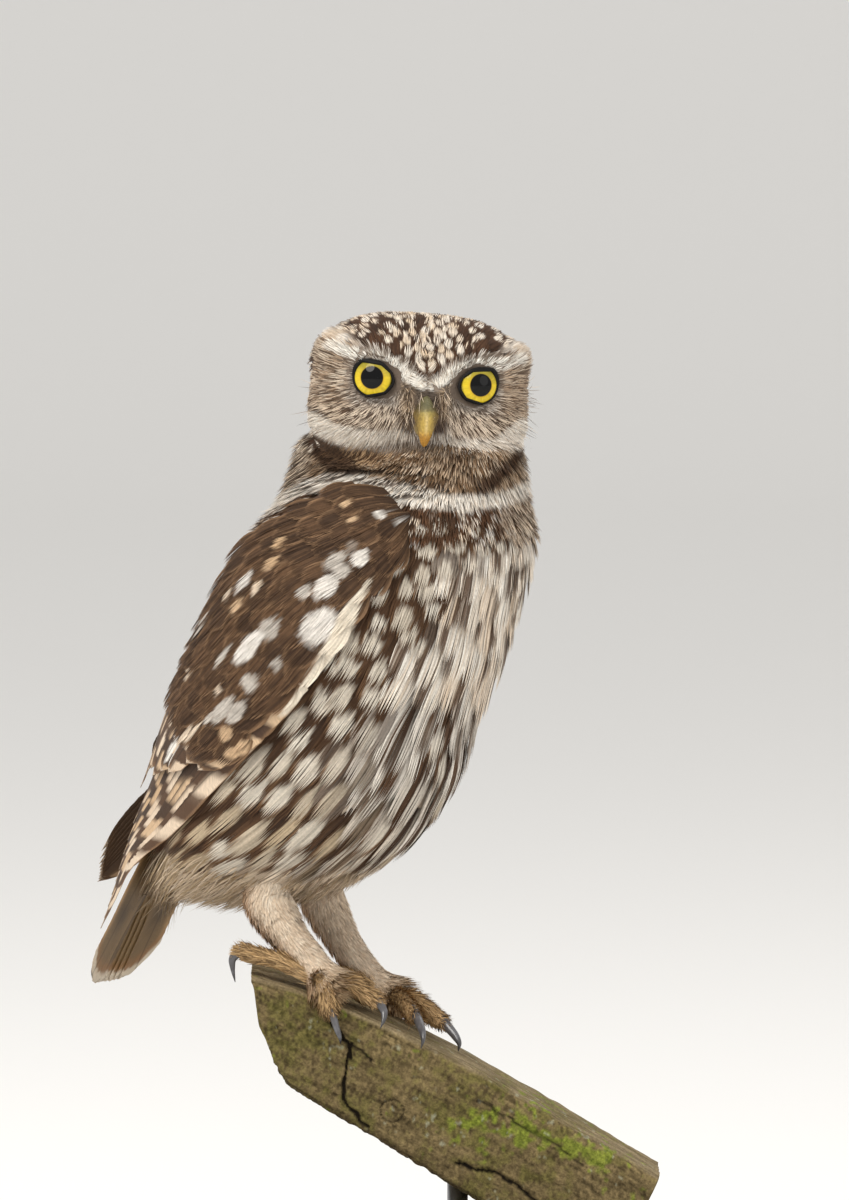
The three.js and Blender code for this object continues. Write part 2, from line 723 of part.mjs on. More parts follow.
// Solids that others are cut clear of
const trunkCut = trunkSolid(GAP);
const branch = branchSolid().translate([0, 0, LIFT]);
const owlFromWorld = owl.matrix.clone().invert();
const branchCut = moved(branch.add(branch.translate([0, 0, GAP + 0.05])), owlFromWorld);

function slabBetween(low, high, tilt, forward) {
  const block = new THREE.BoxGeometry(200, 200, high - low);
  block.translate(0, 0, (high - low) / 2);
  block.rotateY(MathUtils.degToRad(-tilt));
  block.translate(forward, 0, low);
  return solidOf(block);
}

function addBody() {
  const collarMiddle = 17;
  const below = slabBetween(COLLAR_HEIGHT - 200, COLLAR_HEIGHT, 0, collarMiddle);
  const above = slabBetween(COLLAR_HEIGHT + GAP, COLLAR_HEIGHT + 60, 0, collarMiddle);
  const tilt = new Matrix4()
    .makeTranslation(collarMiddle, 0, COLLAR_HEIGHT)
    .multiply(new Matrix4().makeRotationY(MathUtils.degToRad(COLLAR_TILT)))
    .multiply(new Matrix4().makeTranslation(-collarMiddle, 0, -COLLAR_HEIGHT));
  const headCut = moved(headSolid(GAP), head.matrix);
  const trunk = trunkSolid();
  addMesh(owl, "torso", geometryOf(trunk.intersect(moved(below, tilt)).subtract(headCut)), materials.breast);
  addMesh(owl, "neck", geometryOf(trunk.intersect(moved(above, tilt)).subtract(headCut)), materials.plumage);
}

function addHead() {
  const sockets = [RIGHT, LEFT].map((side) => ballSolid(eyeMiddle(side), EYE_RADIUS + GAP, 14, 10));
  const upperCut = upperBillSolid(GAP);
  const upper = upperBillSolid();
  const lower = lowerBillSolid();
  const lowerCut = lower.add(lower.translate([0, 0, -GAP])).add(lower.translate([GAP, 0, 0]));
  const gapes = [RIGHT, LEFT].map((side) => ballSolid(new Vector3(21.5, side * 5, -7.8), 1.8, 7, 5));
  const skull = union([headSolid(), lidSolid(RIGHT), lidSolid(LEFT)])
    .subtract(union(sockets))
    .subtract(union(gapes))
    .subtract(upperCut)
    .subtract(lowerCut);
  addMesh(head, "head", geometryOf(skull), materials.plumage);
  const nostrils = [RIGHT, LEFT].map((side) => ballSolid(new Vector3(25.2, side * 2.7, -3.3), 0.8, 6, 4));
  addMesh(head, "bill_upper", geometryOf(upper.subtract(union(nostrils))), materials.bill);
  addMesh(head, "bill_lower", geometryOf(lower.subtract(upperCut)), materials.bill);
  addMesh(head, "eye_right", geometryOf(ballSolid(eyeMiddle(RIGHT), EYE_RADIUS, 14, 10)), materials.eye);
  addMesh(head, "eye_left", geometryOf(ballSolid(eyeMiddle(LEFT), EYE_RADIUS, 14, 10)), materials.eye);
}

function addWing(name, side) {
  const wing = new WingSurface(side);
  const coverts = covertsSolid(wing, trunkCut);
  const primaries = primariesSolid(wing, trunkCut).subtract(coverts);
  const secondaries = secondariesSolid(wing, trunkCut).subtract(coverts);
  addMesh(owl, `wing_${name}_coverts`, geometryOf(coverts), materials.plumage);
  addMesh(owl, `wing_${name}_secondaries`, geometryOf(secondaries), materials.barred);
  addMesh(owl, `wing_${name}_primaries`, geometryOf(primaries), materials.barred);
}

function addLeg(name, rows) {
  const foot = FEET[name];
  const leg = legSolid(rows, foot.side);
  const thigh = leg.intersect(slabBetween(LEG_KNEE_HEIGHT, 160, 0, 0)).subtract(trunkCut);
  const shank = leg.intersect(slabBetween(60, LEG_KNEE_HEIGHT - GAP, 0, 0)).subtract(branchCut);
  addMesh(owl, `thigh_${name}`, geometryOf(thigh), materials.leg);
  addMesh(owl, `tarsus_${name}`, geometryOf(shank), materials.leg);
  const over = (point) => new Vector3(...point).add(new Vector3(0, 0, LIFT)).applyMatrix4(owlFromWorld);
  const ball = over(foot.ball);
  const toes = foot.toes.map((joints) => [ball, over(joints[0]), over(joints[1])]);
  const clawsGrown = (grow) =>
    foot.toes.map((joints, i) => {
      const direction = toes[i][2].clone().sub(toes[i][1]).normalize();
      return clawSolid(toes[i][2], over(joints[2]), direction, grow);
    });
  const sole = union([ballSolid(ball, 4.1, 7, 5), ...toes.map(toeSolid)])
    .subtract(legSolid(rows, foot.side, GAP))
    .subtract(branchCut)
    .subtract(union(clawsGrown(GAP)));
  addMesh(owl, `foot_${name}`, geometryOf(sole), materials.toe);
  clawsGrown(0).forEach((claw, i) => {
    addMesh(owl, `claw_${name}_${i + 1}`, geometryOf(claw.subtract(branchCut)), materials.horn);
  });
}

function addStand() {
  addMesh(part, "perch", geometryOf(branch), materials.wood);
  addMesh(part, "stand_base", baseGeometry(), materials.stand);
  const branchClear = branch.add(branch.translate([0, 0, -GAP - 0.1]));
  ROD_PLACES.forEach((x, i) => {
    const length = 60;
    const rod = new THREE.CylinderGeometry(ROD_RADIUS, ROD_RADIUS, length, 16);
    rod.rotateX(Math.PI / 2);
    rod.translate(x, 0, BASE_THICKNESS + GAP + length / 2);
    const below = solidOf(rod).subtract(branchClear).decompose();
    below.sort((one, other) => one.boundingBox().min[2] - other.boundingBox().min[2]);
    addMesh(part, `stand_rod_${i + 1}`, geometryOf(below[0]), materials.steel);
  });
}

addBody();
addHead();
addWing("right", RIGHT);
addWing("left", LEFT);
addMesh(owl, "tail", geometryOf(tailSolid(trunkCut)), materials.barred);
addLeg("right", RIGHT_LEG);
addLeg("left", LEFT_LEG);
addStand();

export default part;
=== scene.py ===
import math

import bpy
import numpy as np
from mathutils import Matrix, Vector


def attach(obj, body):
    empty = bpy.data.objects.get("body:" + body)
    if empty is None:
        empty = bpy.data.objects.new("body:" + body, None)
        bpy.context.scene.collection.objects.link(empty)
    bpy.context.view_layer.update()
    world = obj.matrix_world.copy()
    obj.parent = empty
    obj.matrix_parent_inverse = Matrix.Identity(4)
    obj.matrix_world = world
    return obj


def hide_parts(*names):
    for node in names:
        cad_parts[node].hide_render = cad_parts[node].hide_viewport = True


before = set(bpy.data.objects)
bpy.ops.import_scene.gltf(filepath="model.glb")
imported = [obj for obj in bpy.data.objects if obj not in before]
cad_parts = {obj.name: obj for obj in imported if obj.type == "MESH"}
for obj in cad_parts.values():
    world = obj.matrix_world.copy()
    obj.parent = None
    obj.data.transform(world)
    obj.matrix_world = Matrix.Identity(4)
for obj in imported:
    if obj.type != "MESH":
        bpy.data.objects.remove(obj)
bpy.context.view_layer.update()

scene = bpy.context.scene

# The owl is worked out in its own frame in millimetres: x forward, y to its left, z up.
# toWorld puts it on the branch, in metres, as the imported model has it.
millimetre = 0.001
place = {"x": -6.7, "heading": -30.0, "lift": 8.0}
sideOf = {"right": -1, "left": 1}
leftwards, upwards = np.eye(3)[1:]
fullTurn = 2 * np.pi


def turnAbout(axis, degrees):
    # A turn about the axis x (0) or z (2)
    c, s = math.cos(math.radians(degrees)), math.sin(math.radians(degrees))
    return np.roll([[c, -s, 0], [s, c, 0], [0, 0, 1]], axis + 1, (0, 1))


owlTurn = turnAbout(2, place["heading"])
owlAt = np.array([place["x"], 0, place["lift"]])


def toWorld(points):
    return (points @ owlTurn.T + owlAt) * millimetre


def fromStand(points):
    # Places given over the stand in millimetres, without the lift, taken into the owl's frame
    return (np.asarray(points, float) + [0, 0, place["lift"]] - owlAt) @ owlTurn


def unit(vectors):
    return vectors / np.maximum(np.linalg.norm(vectors, axis=-1, keepdims=True), 1e-9)


def dot(one, other):
    return np.sum(one * other, axis=-1)


def flatten(run, normal, share=1.0):
    # A direction less its part along the normal
    return run - normal * share * dot(run, normal)[..., None]


def ramp(low, high, x):
    # 0 below low, 1 above high, and a smooth cubic between
    t = np.clip((x - low) / (high - low), 0, 1)
    return t * t * (3 - 2 * t)


def mix(one, other, share):
    return one + (other - one) * share


def stack(*columns):
    return np.stack(np.broadcast_arrays(*columns), axis=-1)


def circle(count):
    return np.linspace(0, fullTurn, count, endpoint=False)


def nearAngle(u, middle, spread):
    # 1 at an angle, falling off to both sides like a bell
    return np.exp(-((np.angle(np.exp(1j * (u - middle))) / spread) ** 2))


def smoothRows(rows, x):
    # A cubic through the rows of a table: each row's slope is that of the line between its neighbours
    rows = np.asarray(rows, float)
    knots, values = rows[:, 0], rows[:, 1:]
    before = np.vstack([rows[:1], rows[:-1]])
    after = np.vstack([rows[1:], rows[-1:]])
    slopes = (after[:, 1:] - before[:, 1:]) / (after[:, :1] - before[:, :1])
    i = np.clip(np.searchsorted(knots, x, side="right") - 1, 0, len(knots) - 2)
    span = (knots[i + 1] - knots[i])[..., None]
    t = (np.asarray(x)[..., None] - knots[i][..., None]) / span
    bend = slopes[i] * (t**3 - 2 * t**2 + t) + slopes[i + 1] * (t**3 - t**2)
    level = 2 * t**3 - 3 * t**2 + 1
    return np.moveaxis(level * values[i] + (1 - level) * values[i + 1] + span * bend, -1, 0)


tones = {
    "umber": (50, 35, 26), "brown": (76, 54, 39), "warm": (112, 80, 57), "tan": (160, 124, 88),
    "buff": (205, 172, 134), "cream": (228, 208, 184), "white": (236, 230, 222), "ash": (196, 188, 178),
    "edge": (236, 224, 204), "grey": (140, 126, 113),
}


def shade(value):
    # A named tone, or a colour as it looks on screen from 0 to 255, made linear; arrays are linear already
    value = tones[value] if isinstance(value, str) else value
    if not isinstance(value, tuple):
        return value
    level = np.array(value) / 255
    return np.where(level <= 0.04045, level / 12.92, ((level + 0.055) / 1.055) ** 2.4)


def over(base, *layers):
    # Lays colours over a base in turn, each followed by its share
    result = shade(base)
    for other, share in zip(layers[::2], layers[1::2]):
        result = mix(result, shade(other), np.asarray(share)[..., None])
    return result


def wobble(points, scale, seed):
    # Smooth noise from -1 to 1: random values at the corners of a cubic lattice, blended between them
    size = 24
    grid = np.random.default_rng(seed).uniform(-1, 1, (size, size, size))
    at = np.asarray(points, float) / scale + 1000.37
    cell = np.floor(at).astype(int)
    t = at - cell
    t = t * t * (3 - 2 * t)
    total = 0.0
    for corner in np.ndindex(2, 2, 2):
        x, y, z = np.moveaxis((cell + corner) % size, -1, 0)
        total = total + np.prod(np.where(np.array(corner) == 1, t, 1 - t), axis=-1) * grid[x, y, z]
    return total


# Shapes of the body: the same named sizes as the solids

trunk = {
    "rows": [  # height, middle's x and y, half width, half depth
        [112, -33.0, 0, 33.0, 39.0], [129, -28.3, 0, 34.5, 41.0], [146, -18.2, 0, 36.5, 42.0],
        [158, -12.0, 0, 39.5, 43.8], [170, -9.8, 0, 42.0, 45.6], [181, -5.6, 0, 43.5, 46.0],
        [193, -0.9, 0, 44.5, 46.8], [204, 2.9, 0, 44.5, 46.6], [216, 7.7, 0, 43.0, 46.6],
        [227, 12.8, 0, 39.5, 44.0], [239, 17.0, 0.5, 33.5, 38.0], [248, 17.4, 2.5, 25.0, 37.2],
        [259, 16.6, 4.0, 21.0, 34.0], [268, 17.0, 4.0, 18.0, 29.0],
    ],
    "bottom": 120.6, "bottomCap": 25.5, "top": 266.0, "topCap": 13.0,
}

head = {
    "middle": np.array([22.5, 0, 270.6]), "turn": -54.5, "roll": -4.2,
    "front": 20.5, "back": 27.0, "halfWidth": 31.2, "up": 22.8, "down": 22.5, "squareness": 2.8,
    "forms": [  # place, rise, spread, and whether it is on both sides
        ([19, 15.4, 3.2], -2.6, 6.5, True), ([20, 6, 4], 1.6, 4, True), ([19.5, 11, 9.5], 2.0, 4.5, True),
        ([16.5, 19, 12], 2.2, 5, True), ([9, 27, 12.5], 1.8, 6, True), ([15, 17, -9], 1.6, 8, True),
        ([21, 0, -3], 3.2, 6.5, False), ([19, 0, -13], 1.0, 6, False), ([14, 0, -20], -1.5, 6, False),
        ([2, 29, -13], 1.8, 10, True),
    ],
}
headTurn = turnAbout(2, head["turn"]) @ turnAbout(0, head["roll"])


def headToOwl(points):
    return points @ headTurn.T + head["middle"]


def owlToHead(points):
    return (points - head["middle"]) @ headTurn


def trunkCaps(z, grow=0):
    # How far a height lies within the round caps at the vent and the nape, as shares of the caps
    below = np.maximum(0, trunk["bottom"] + trunk["bottomCap"] - z) / (trunk["bottomCap"] + grow)
    above = np.maximum(0, z - (trunk["top"] - trunk["topCap"])) / (trunk["topCap"] + grow)
    return below, above


def trunkPoint(angle, height, grow):
    # Ellipses about a leaning middle line, shrunk to nothing by the caps
    middleX, middleY, halfWidth, halfDepth = smoothRows(trunk["rows"], height)
    below, above = trunkCaps(height, grow)
    cap = np.sqrt(np.maximum(0, 1 - below**2)) * np.sqrt(np.maximum(0, 1 - above**2))
    x = middleX + (halfDepth + grow) * cap * np.cos(angle)
    return stack(x, middleY + (halfWidth + grow) * cap * np.sin(angle), height)


def trunkHeight(points):
    # How far a point stands out of the trunk, from its scaled distance to the middle line
    x, y, z = np.moveaxis(points, -1, 0)
    rows = trunk["rows"]
    middleX, middleY, halfWidth, halfDepth = smoothRows(rows, np.clip(z, rows[0][0], rows[-1][0]))
    radial = np.hypot((x - middleX) / halfDepth, (y - middleY) / halfWidth)
    below, above = trunkCaps(z)
    reach = mix(42.0, trunk["bottomCap"], ramp(0.2, 1.0, below))
    reach = mix(reach, trunk["topCap"], ramp(0.2, 1.0, above))
    return (np.sqrt(radial**2 + below**2 + above**2) - 1) * reach


def headRadius(direction):
    # A superellipsoid with Gaussian swellings and hollows
    power = head["squareness"]
    reaches = [np.where(direction[..., 0] > 0, head["front"], head["back"]), head["halfWidth"],
               np.where(direction[..., 2] > 0, head["up"], head["down"])]
    base = sum(np.abs(direction[..., k] / reaches[k]) ** power for k in range(3)) ** (-1 / power)
    skin = direction * base[..., None]
    rise = 0.0
    for at, amount, spread, paired in head["forms"]:
        for side in (-1, 1) if paired else (1,):
            away = skin - np.array([at[0], side * at[1], at[2]])
            rise = rise + amount * np.exp(-dot(away, away) / spread**2)
    return base + rise


def headHeight(points):
    local = owlToHead(points)
    reach = np.linalg.norm(local, axis=-1)
    return reach - headRadius(local / np.maximum(reach, 1e-6)[..., None])


def bodyHeight(points):
    # Trunk and head joined with a soft fillet
    fillet = 5.0
    one, other = trunkHeight(points), headHeight(points)
    share = np.clip(0.5 + 0.5 * (one - other) / fillet, 0, 1)
    return mix(one, other, share) - fillet * share * (1 - share)


def heightAndNormal(height, points):
    # The height over a surface as a true distance, with the direction straight out of it
    step = 0.3
    here = height(points)
    slope = stack(*(height(points + step * axis) - here for axis in np.eye(3))) / step
    steep = np.linalg.norm(slope, axis=-1)
    return here / np.maximum(steep, 0.2), slope / np.maximum(steep, 1e-6)[..., None]


def dropOn(height, points, wanted, rounds=2):
    # Moves points straight in or out until they stand at the wanted height
    for _ in range(rounds):
        level, normal = heightAndNormal(height, points)
        points = points + normal * (wanted - level)[..., None]
    return points, normal


# Meshes

def gridFaces(rows, columns, closed):
    # Four-sided faces over a grid of points; a closed grid joins its last column to its first
    i, j = np.meshgrid(np.arange(rows - 1), np.arange(columns if closed else columns - 1), indexing="ij")
    a = i * columns + j
    b = i * columns + (j + 1) % columns
    return stack(a, b, b + columns, a + columns).reshape(-1, 4)


def outward(points, faces):
    # Faces turned so that the closed shape's volume is positive
    a, b, c, d = (points[faces[:, k]] for k in range(4))
    return faces if np.sum(a * np.cross(b, c)) + np.sum(a * np.cross(c, d)) > 0 else faces[:, ::-1]


def gridMesh(rings):
    # The points and faces of a closed grid of rings
    points = rings.reshape(-1, 3)
    return points, outward(points - points.mean(axis=0), gridFaces(*rings.shape[:2], True))


def link(name, data):
    thing = bpy.data.objects.new(name, data)
    scene.collection.objects.link(thing)
    return thing


def addPiece(name, points, faces, finish, replaced=(), tint=None, maps=None, normals=None):
    mesh = bpy.data.meshes.new(name)
    mesh.vertices.add(len(points))
    mesh.vertices.foreach_set("co", np.ascontiguousarray(points, np.float32).ravel())
    mesh.loops.add(faces.size)
    mesh.loops.foreach_set("vertex_index", np.ascontiguousarray(faces, np.int32).ravel())
    mesh.polygons.add(len(faces))
    mesh.polygons.foreach_set("loop_start", np.arange(len(faces), dtype=np.int32) * faces.shape[1])
    mesh.update(calc_edges=True)
    mesh.polygons.foreach_set("use_smooth", np.ones(len(faces), bool))
    if tint is not None:
        layer = mesh.color_attributes.new("tint", "FLOAT_COLOR", "POINT")
        solid = np.concatenate([tint, np.ones((len(tint), 1))], axis=1)
        layer.data.foreach_set("color", solid.astype(np.float32).ravel())
    for mapName, places in (maps or {}).items():
        layer = mesh.uv_layers.new(name=mapName)
        layer.uv.foreach_set("vector", places[faces.ravel()].astype(np.float32).ravel())
    if normals is not None:
        mesh.normals_split_custom_set_from_vertices(normals.astype(np.float32))
    piece = link(name, mesh)
    mesh.materials.append(finish)
    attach(piece, "root")
    if replaced:
        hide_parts(*replaced)
    print(name, len(faces), "faces")


# Finishes

def addNode(tree, kind, inputs=None, **settings):
    # A shader node with its settings; an input is a value or another node's output
    node = tree.nodes.new(f"ShaderNode{kind}")
    for key, value in settings.items():
        setattr(node, key, value)
    for key, value in (inputs or {}).items():
        if isinstance(value, bpy.types.NodeSocket):
            tree.links.new(value, node.inputs[key])
        else:
            node.inputs[key].default_value = value
    return node


def sums(tree, operation, one, other=0.0):
    return addNode(tree, "Math", {0: one, 1: other}, operation=operation).outputs[0]


def multiplied(tree, one, other):
    sockets = {"Factor": 1, "A": one, "B": other}
    return addNode(tree, "Mix", sockets, data_type="RGBA", blend_type="MULTIPLY").outputs["Result"]


def lineGroup(name, values, linesOf, lastly):
    # Fine lines in a feather as a change of shade and a height. linesOf makes the noise, lastly the shaft.
    group = bpy.data.node_groups.new(name, "ShaderNodeTree")
    for label, value in {"Colour": (0.5, 0.5, 0.5, 1), **values}.items():
        kind = "NodeSocketColor" if label == "Colour" else "NodeSocketFloat"
        group.interface.new_socket(name=label, in_out="INPUT", socket_type=kind).default_value = value
    for label, kind in (("Colour", "NodeSocketColor"), ("Height", "NodeSocketFloat")):
        group.interface.new_socket(name=label, in_out="OUTPUT", socket_type=kind)
    given = group.nodes.new("NodeGroupInput").outputs
    out = group.nodes.new("NodeGroupOutput").inputs
    noise = linesOf(group, given).outputs["Fac"]
    stretch = {"Value": noise, "From Min": 0.3, "From Max": 0.7}
    stretch["To Min"] = sums(group, "SUBTRACT", 1.0, given["Contrast"])
    stretch["To Max"] = sums(group, "ADD", 1.0, given["Contrast"])
    result = multiplied(group, given["Colour"], addNode(group, "MapRange", stretch).outputs["Result"])
    group.links.new(lastly(group, result), out["Colour"])
    group.links.new(noise, out["Height"])
    return group


def barbNoise(group, given):
    where = addNode(group, "TexCoord").outputs["Object"]
    return addNode(group, "TexNoise", {"Detail": 3, "Vector": where, "Scale": given["Scale"]})


def vaneParts(group):
    # Places on a large feather: the distance off its shaft, and the places across and along it
    where = addNode(group, "UVMap", uv_map="vane").outputs["UV"]
    split = addNode(group, "SeparateXYZ", {"Vector": where}).outputs
    return sums(group, "ABSOLUTE", split["X"]), split["X"], split["Y"]


def vaneNoise(group, given):
    # Fine slanted lines on both sides of the shaft
    off, across, along = vaneParts(group)
    slanted = sums(group, "SUBTRACT", along, sums(group, "MULTIPLY", off, 0.45))
    line = {"X": sums(group, "MULTIPLY", slanted, 26.0), "Y": sums(group, "MULTIPLY", across, 0.8)}
    where = addNode(group, "CombineXYZ", line).outputs["Vector"]
    return addNode(group, "TexNoise", {"Scale": 2.2, "Detail": 4, "Vector": where})


def vaneShaft(group, result):
    stretch = {"From Min": 0.03, "From Max": 0.07, "To Min": 0.62, "To Max": 1.0}
    stretch["Value"] = vaneParts(group)[0]
    return multiplied(group, result, addNode(group, "MapRange", stretch).outputs["Result"])


barbs = lineGroup("barbs", {"Scale": 900.0, "Contrast": 0.3}, barbNoise, lambda group, result: result)
barbLines = lineGroup("barbLines", {"Contrast": 0.2}, vaneNoise, vaneShaft)


def newMaterial(name, values):
    # A material with constants on the shader's own sockets
    material = bpy.data.materials.new(name)
    material.use_nodes = True
    tree = material.node_tree
    shader = tree.nodes["Principled BSDF"].inputs
    for label, value in values.items():
        shader[label].default_value = value
    return material, tree, shader


def addBump(tree, shader, height, strength, depth):
    bump = addNode(tree, "Bump", {"Strength": strength, "Distance": depth, "Height": height})
    tree.links.new(bump.outputs["Normal"], shader["Normal"])


def painted(name, group, lines, values, strength=0.4, depth=0.0):
    # The piece's own tint with a group's fine lines in it, and a bump where a depth is given
    material, tree, shader = newMaterial(name, values)
    paint = addNode(tree, "Attribute", attribute_name="tint").outputs["Color"]
    made = addNode(tree, "Group", None, node_tree=group)
    tree.links.new(paint, made.inputs["Colour"])
    for label, value in lines.items():
        made.inputs[label].default_value = value
    tree.links.new(made.outputs["Colour"], shader["Base Color"])
    if depth:
        addBump(tree, shader, made.outputs["Height"], strength, depth)
    return material


def glossy(name, roughness, coat, coatRoughness, scale=800.0, depth=0.0, specular=0.5, contrast=0.06):
    values = {"Roughness": roughness, "Specular IOR Level": specular, "Coat Weight": coat,
              "Coat Roughness": coatRoughness}
    return painted(name, barbs, {"Scale": scale, "Contrast": contrast}, values, depth=depth)


coatFinish = painted("bodyFeather", barbs, {"Scale": 1500.0, "Contrast": 0.12},
                     {"Roughness": 0.75, "Specular IOR Level": 0.25})
vaneFinish = painted("wingFeather", barbLines, {"Contrast": 0.2},
                     {"Roughness": 0.6, "Specular IOR Level": 0.3}, 0.35, 0.0002)
eyeFinish = glossy("wetEye", 0.2, 0.45, 0.02, specular=0.0)
lidFinish = glossy("lidSkin", 0.6, 0.0, 0.3, 1800.0, 0.0002, 0.2)
billFinish = glossy("billHorn", 0.5, 0.12, 0.3, 1400.0, 0.0004, 0.35, 0.24)
clawFinish = glossy("clawHorn", 0.3, 0.6, 0.12, 900.0, 0.0001)
toeFinish = glossy("toeSkin", 0.6, 0.0, 0.3, 1500.0, 0.0003)
woodFinish = glossy("weatheredWood", 0.88, 0.0, 0.3, 1500.0, 0.0012, 0.15, 0.28)

# Body feathers

bodyCoat = {
    "depth": 3.0,  # from the skin to the feather's tip
    "patch": 0.003,  # each feather's size on the bake map
}
commonCoat = {"round": 0.1, "rootWidth": 0.45, "close": 0.0, "rise": 1.0, "relief": 0.3}


def mapPlace(a, b, wide=0.95, high=0.95):
    # A root's place on the bake map from two shares
    return stack(0.02 + wide * a, 0.02 + high * b)


def beside(roots, along, aside):
    # Places along and beside each root's own line
    across = np.cross(roots["normal"], roots["lie"])
    return roots["at"] + roots["lie"] * along[..., None] + across * aside[..., None]


def dropped(height):
    # Lays feathers over a rounded form: each place beside the root's line is dropped on to the form
    def lay(roots, along, aside, wanted):
        flat = beside(roots, along, aside)
        middle, out = dropOn(height, flat.reshape(-1, 3), wanted.reshape(-1))
        return middle.reshape(flat.shape), out.reshape(flat.shape)

    return lay


def straight(roots, along, aside, wanted):
    # Feathers that stand straight out from their roots
    flat = beside(roots, along, aside)
    return flat + roots["normal"] * wanted[..., None], np.broadcast_to(roots["normal"], flat.shape)


def growCoat(name, roots, coat, paint, ground, replaced=()):
    # Each feather is a fan of narrow strands. A strand's middle line runs from the root along the lie and
    # spreads sideways by its place across the feather. It is laid on the ground at a height that grows to
    # the tip.
    coat = {**commonCoat, **coat}
    draw = np.random.default_rng(coat["seed"])
    roots = {key: values[:, None, None] for key, values in roots.items()}
    across = coat["strands"]
    each = (len(roots["at"]), across, 1)
    s = np.array(coat["stations"])[None, None, :]
    t = (np.linspace(-1, 1, across) if across > 1 else np.zeros(1))[None, :, None]
    t = t + draw.uniform(-1, 1, each) * 0.7 / across
    fray = coat["fray"] * draw.uniform(0, 1, each)
    length = roots["length"] * (1 - fray - coat["round"] * np.abs(t) ** 2.5)
    fan = coat["rootWidth"] + (1 - coat["rootWidth"]) * np.sin(0.5 * np.pi * np.minimum(1, 1.5 * s))
    fan = fan * (1 - coat["close"] * s**4)
    sway = draw.normal(0, coat["stray"], each) * s**2
    sideways = 0.5 * roots["width"] * (t * fan + sway)
    lift = roots.get("lift", 0) + draw.normal(0, coat["loose"], each)
    layer = draw.uniform(-0.12, 0.12, (each[0], 1, 1))
    wanted = coat["low"] + (coat["high"] - coat["low"] + lift) * s ** coat["rise"]
    wanted = wanted - coat["cup"] * t**2 * s + layer
    middle, out = ground(roots, *np.broadcast_arrays(length * s, sideways, wanted))
    along = unit(np.gradient(middle, axis=2))
    roll = draw.uniform(-0.5, 0.5, (*each, 1))
    edge = unit(unit(np.cross(out, along)) + roll * out)
    breadth = 0.5 * coat["strandWidth"] * (roots["width"] / roots["width"].mean())
    breadth = breadth * (0.55 + 0.45 * np.sin(np.pi * np.minimum(1, s * 1.1))) * (1 - s**3) ** 0.5
    sides = np.stack([middle - edge * breadth[..., None], middle + edge * breadth[..., None]], axis=3)
    stations = s.shape[2]
    points = np.concatenate([sides[:, :, :-1].reshape(*each[:2], -1, 3), middle[:, :, -1:]], axis=2)
    size = points.shape[2]
    k = np.arange(stations - 2)[:, None] * 2
    quads = np.concatenate([k + [0, 2, 1], k + [1, 2, 3]], axis=1).reshape(-1, 3)
    strand = np.concatenate([quads, [[size - 3, size - 1, size - 2]]])
    faces = (strand + size * np.arange(each[0] * across)[:, None, None]).reshape(-1, 3)

    def perVertex(values):
        # Values given at the stations, doubled for the two edges of a strand
        values = np.broadcast_to(values, (*each[:2], stations, values.shape[-1]))
        twice = np.repeat(values[:, :, :-1], 2, axis=2)
        return np.concatenate([twice, values[:, :, -1:]], axis=2).reshape(-1, values.shape[-1])

    tint = paint(s, t, middle, roots, draw)
    streak = np.clip(1 + draw.normal(0, coat["streak"], (*each, 1)), 0.5, 1.6)
    # rootShade paints each strand darker towards its root: painted shade where the feathers lie over one
    # another
    tint = np.clip(tint * streak * mix(coat["rootShade"], 1, s[..., None] ** 0.5), 0, 1)
    soft = unit(out + coat["relief"] * (t[..., None] * edge - 0.25 * along) + 0.25 * roll * edge)
    where = roots["map"] + stack(0.5 + 0.4 * t, s) * bodyCoat["patch"]
    addPiece(name, toWorld(points.reshape(-1, 3)), faces, coatFinish, replaced, perVertex(tint),
             {"OFBake": perVertex(where)}, perVertex(soft) @ owlTurn.T)


def joinRoots(parts):
    return {key: np.concatenate([part[key] for part in parts]) for key in parts[0]}


def pickRoots(roots, keep):
    return {key: values[keep] for key, values in roots.items()}


def chances(draw, t, feathers, low=0):
    # So many random shares for each feather, then one from low to 1 for each strand
    shares = [draw.uniform(0, 1, (len(t), 1, 1)) for _ in range(feathers)]
    return *shares, draw.uniform(low, 1, (*t.shape[:2], 1))


def staggered(draw, count, number, spread):
    # Shares round a ring, every other ring shifted by half a step, each a little out of place
    angle = (np.arange(count) + 0.5 * (number % 2)) / count * fullTurn
    return angle + draw.normal(0, spread, count) * fullTurn / count


def trunkRoots(pace, low, high, seed):
    # Rows of roots round the trunk. pace holds height, spacing down the body and spacing across it.
    draw = np.random.default_rng(seed)
    levels, downSteps, acrossSteps = np.array(pace, float).T
    heights = np.linspace(trunk["bottom"] + 0.05, trunk["top"] - 4, 1200)
    sides = [trunkPoint(np.full_like(heights, angle), heights, 0) for angle in (0, -1.57, 3.14)]
    steps = np.mean([np.linalg.norm(np.diff(line, axis=0), axis=1) for line in sides], axis=0)
    beat = np.concatenate([[0], np.cumsum(steps / np.interp(heights[1:], levels, downSteps))])
    found = []
    for number, z in enumerate(np.interp(np.arange(0.5, beat[-1], 1), beat, heights)):
        ring = trunkPoint(np.linspace(0, fullTurn, 60), np.full(60, z), 0)
        around = np.linalg.norm(np.diff(ring, axis=0), axis=1).sum()
        count = max(3, round(around / np.interp(z, levels, acrossSteps)))
        angle = staggered(draw, count, number, 0.17)
        height = z + draw.normal(0, 0.2, count) * np.interp(z, levels, downSteps)
        found.append(stack(angle, np.clip(height, heights[0], heights[-1])))
    found = np.concatenate(found)
    angle, height = found[(found[:, 1] >= low) & (found[:, 1] < high)].T
    at = trunkPoint(angle, height, 0)
    angle = np.angle(np.exp(1j * angle))
    level, normal = heightAndNormal(bodyHeight, at)
    return {"at": at, "angle": np.degrees(angle), "level": level, "normal": normal,
            "map": mapPlace((angle + np.pi) / fullTurn, (height - 110) / 165)}


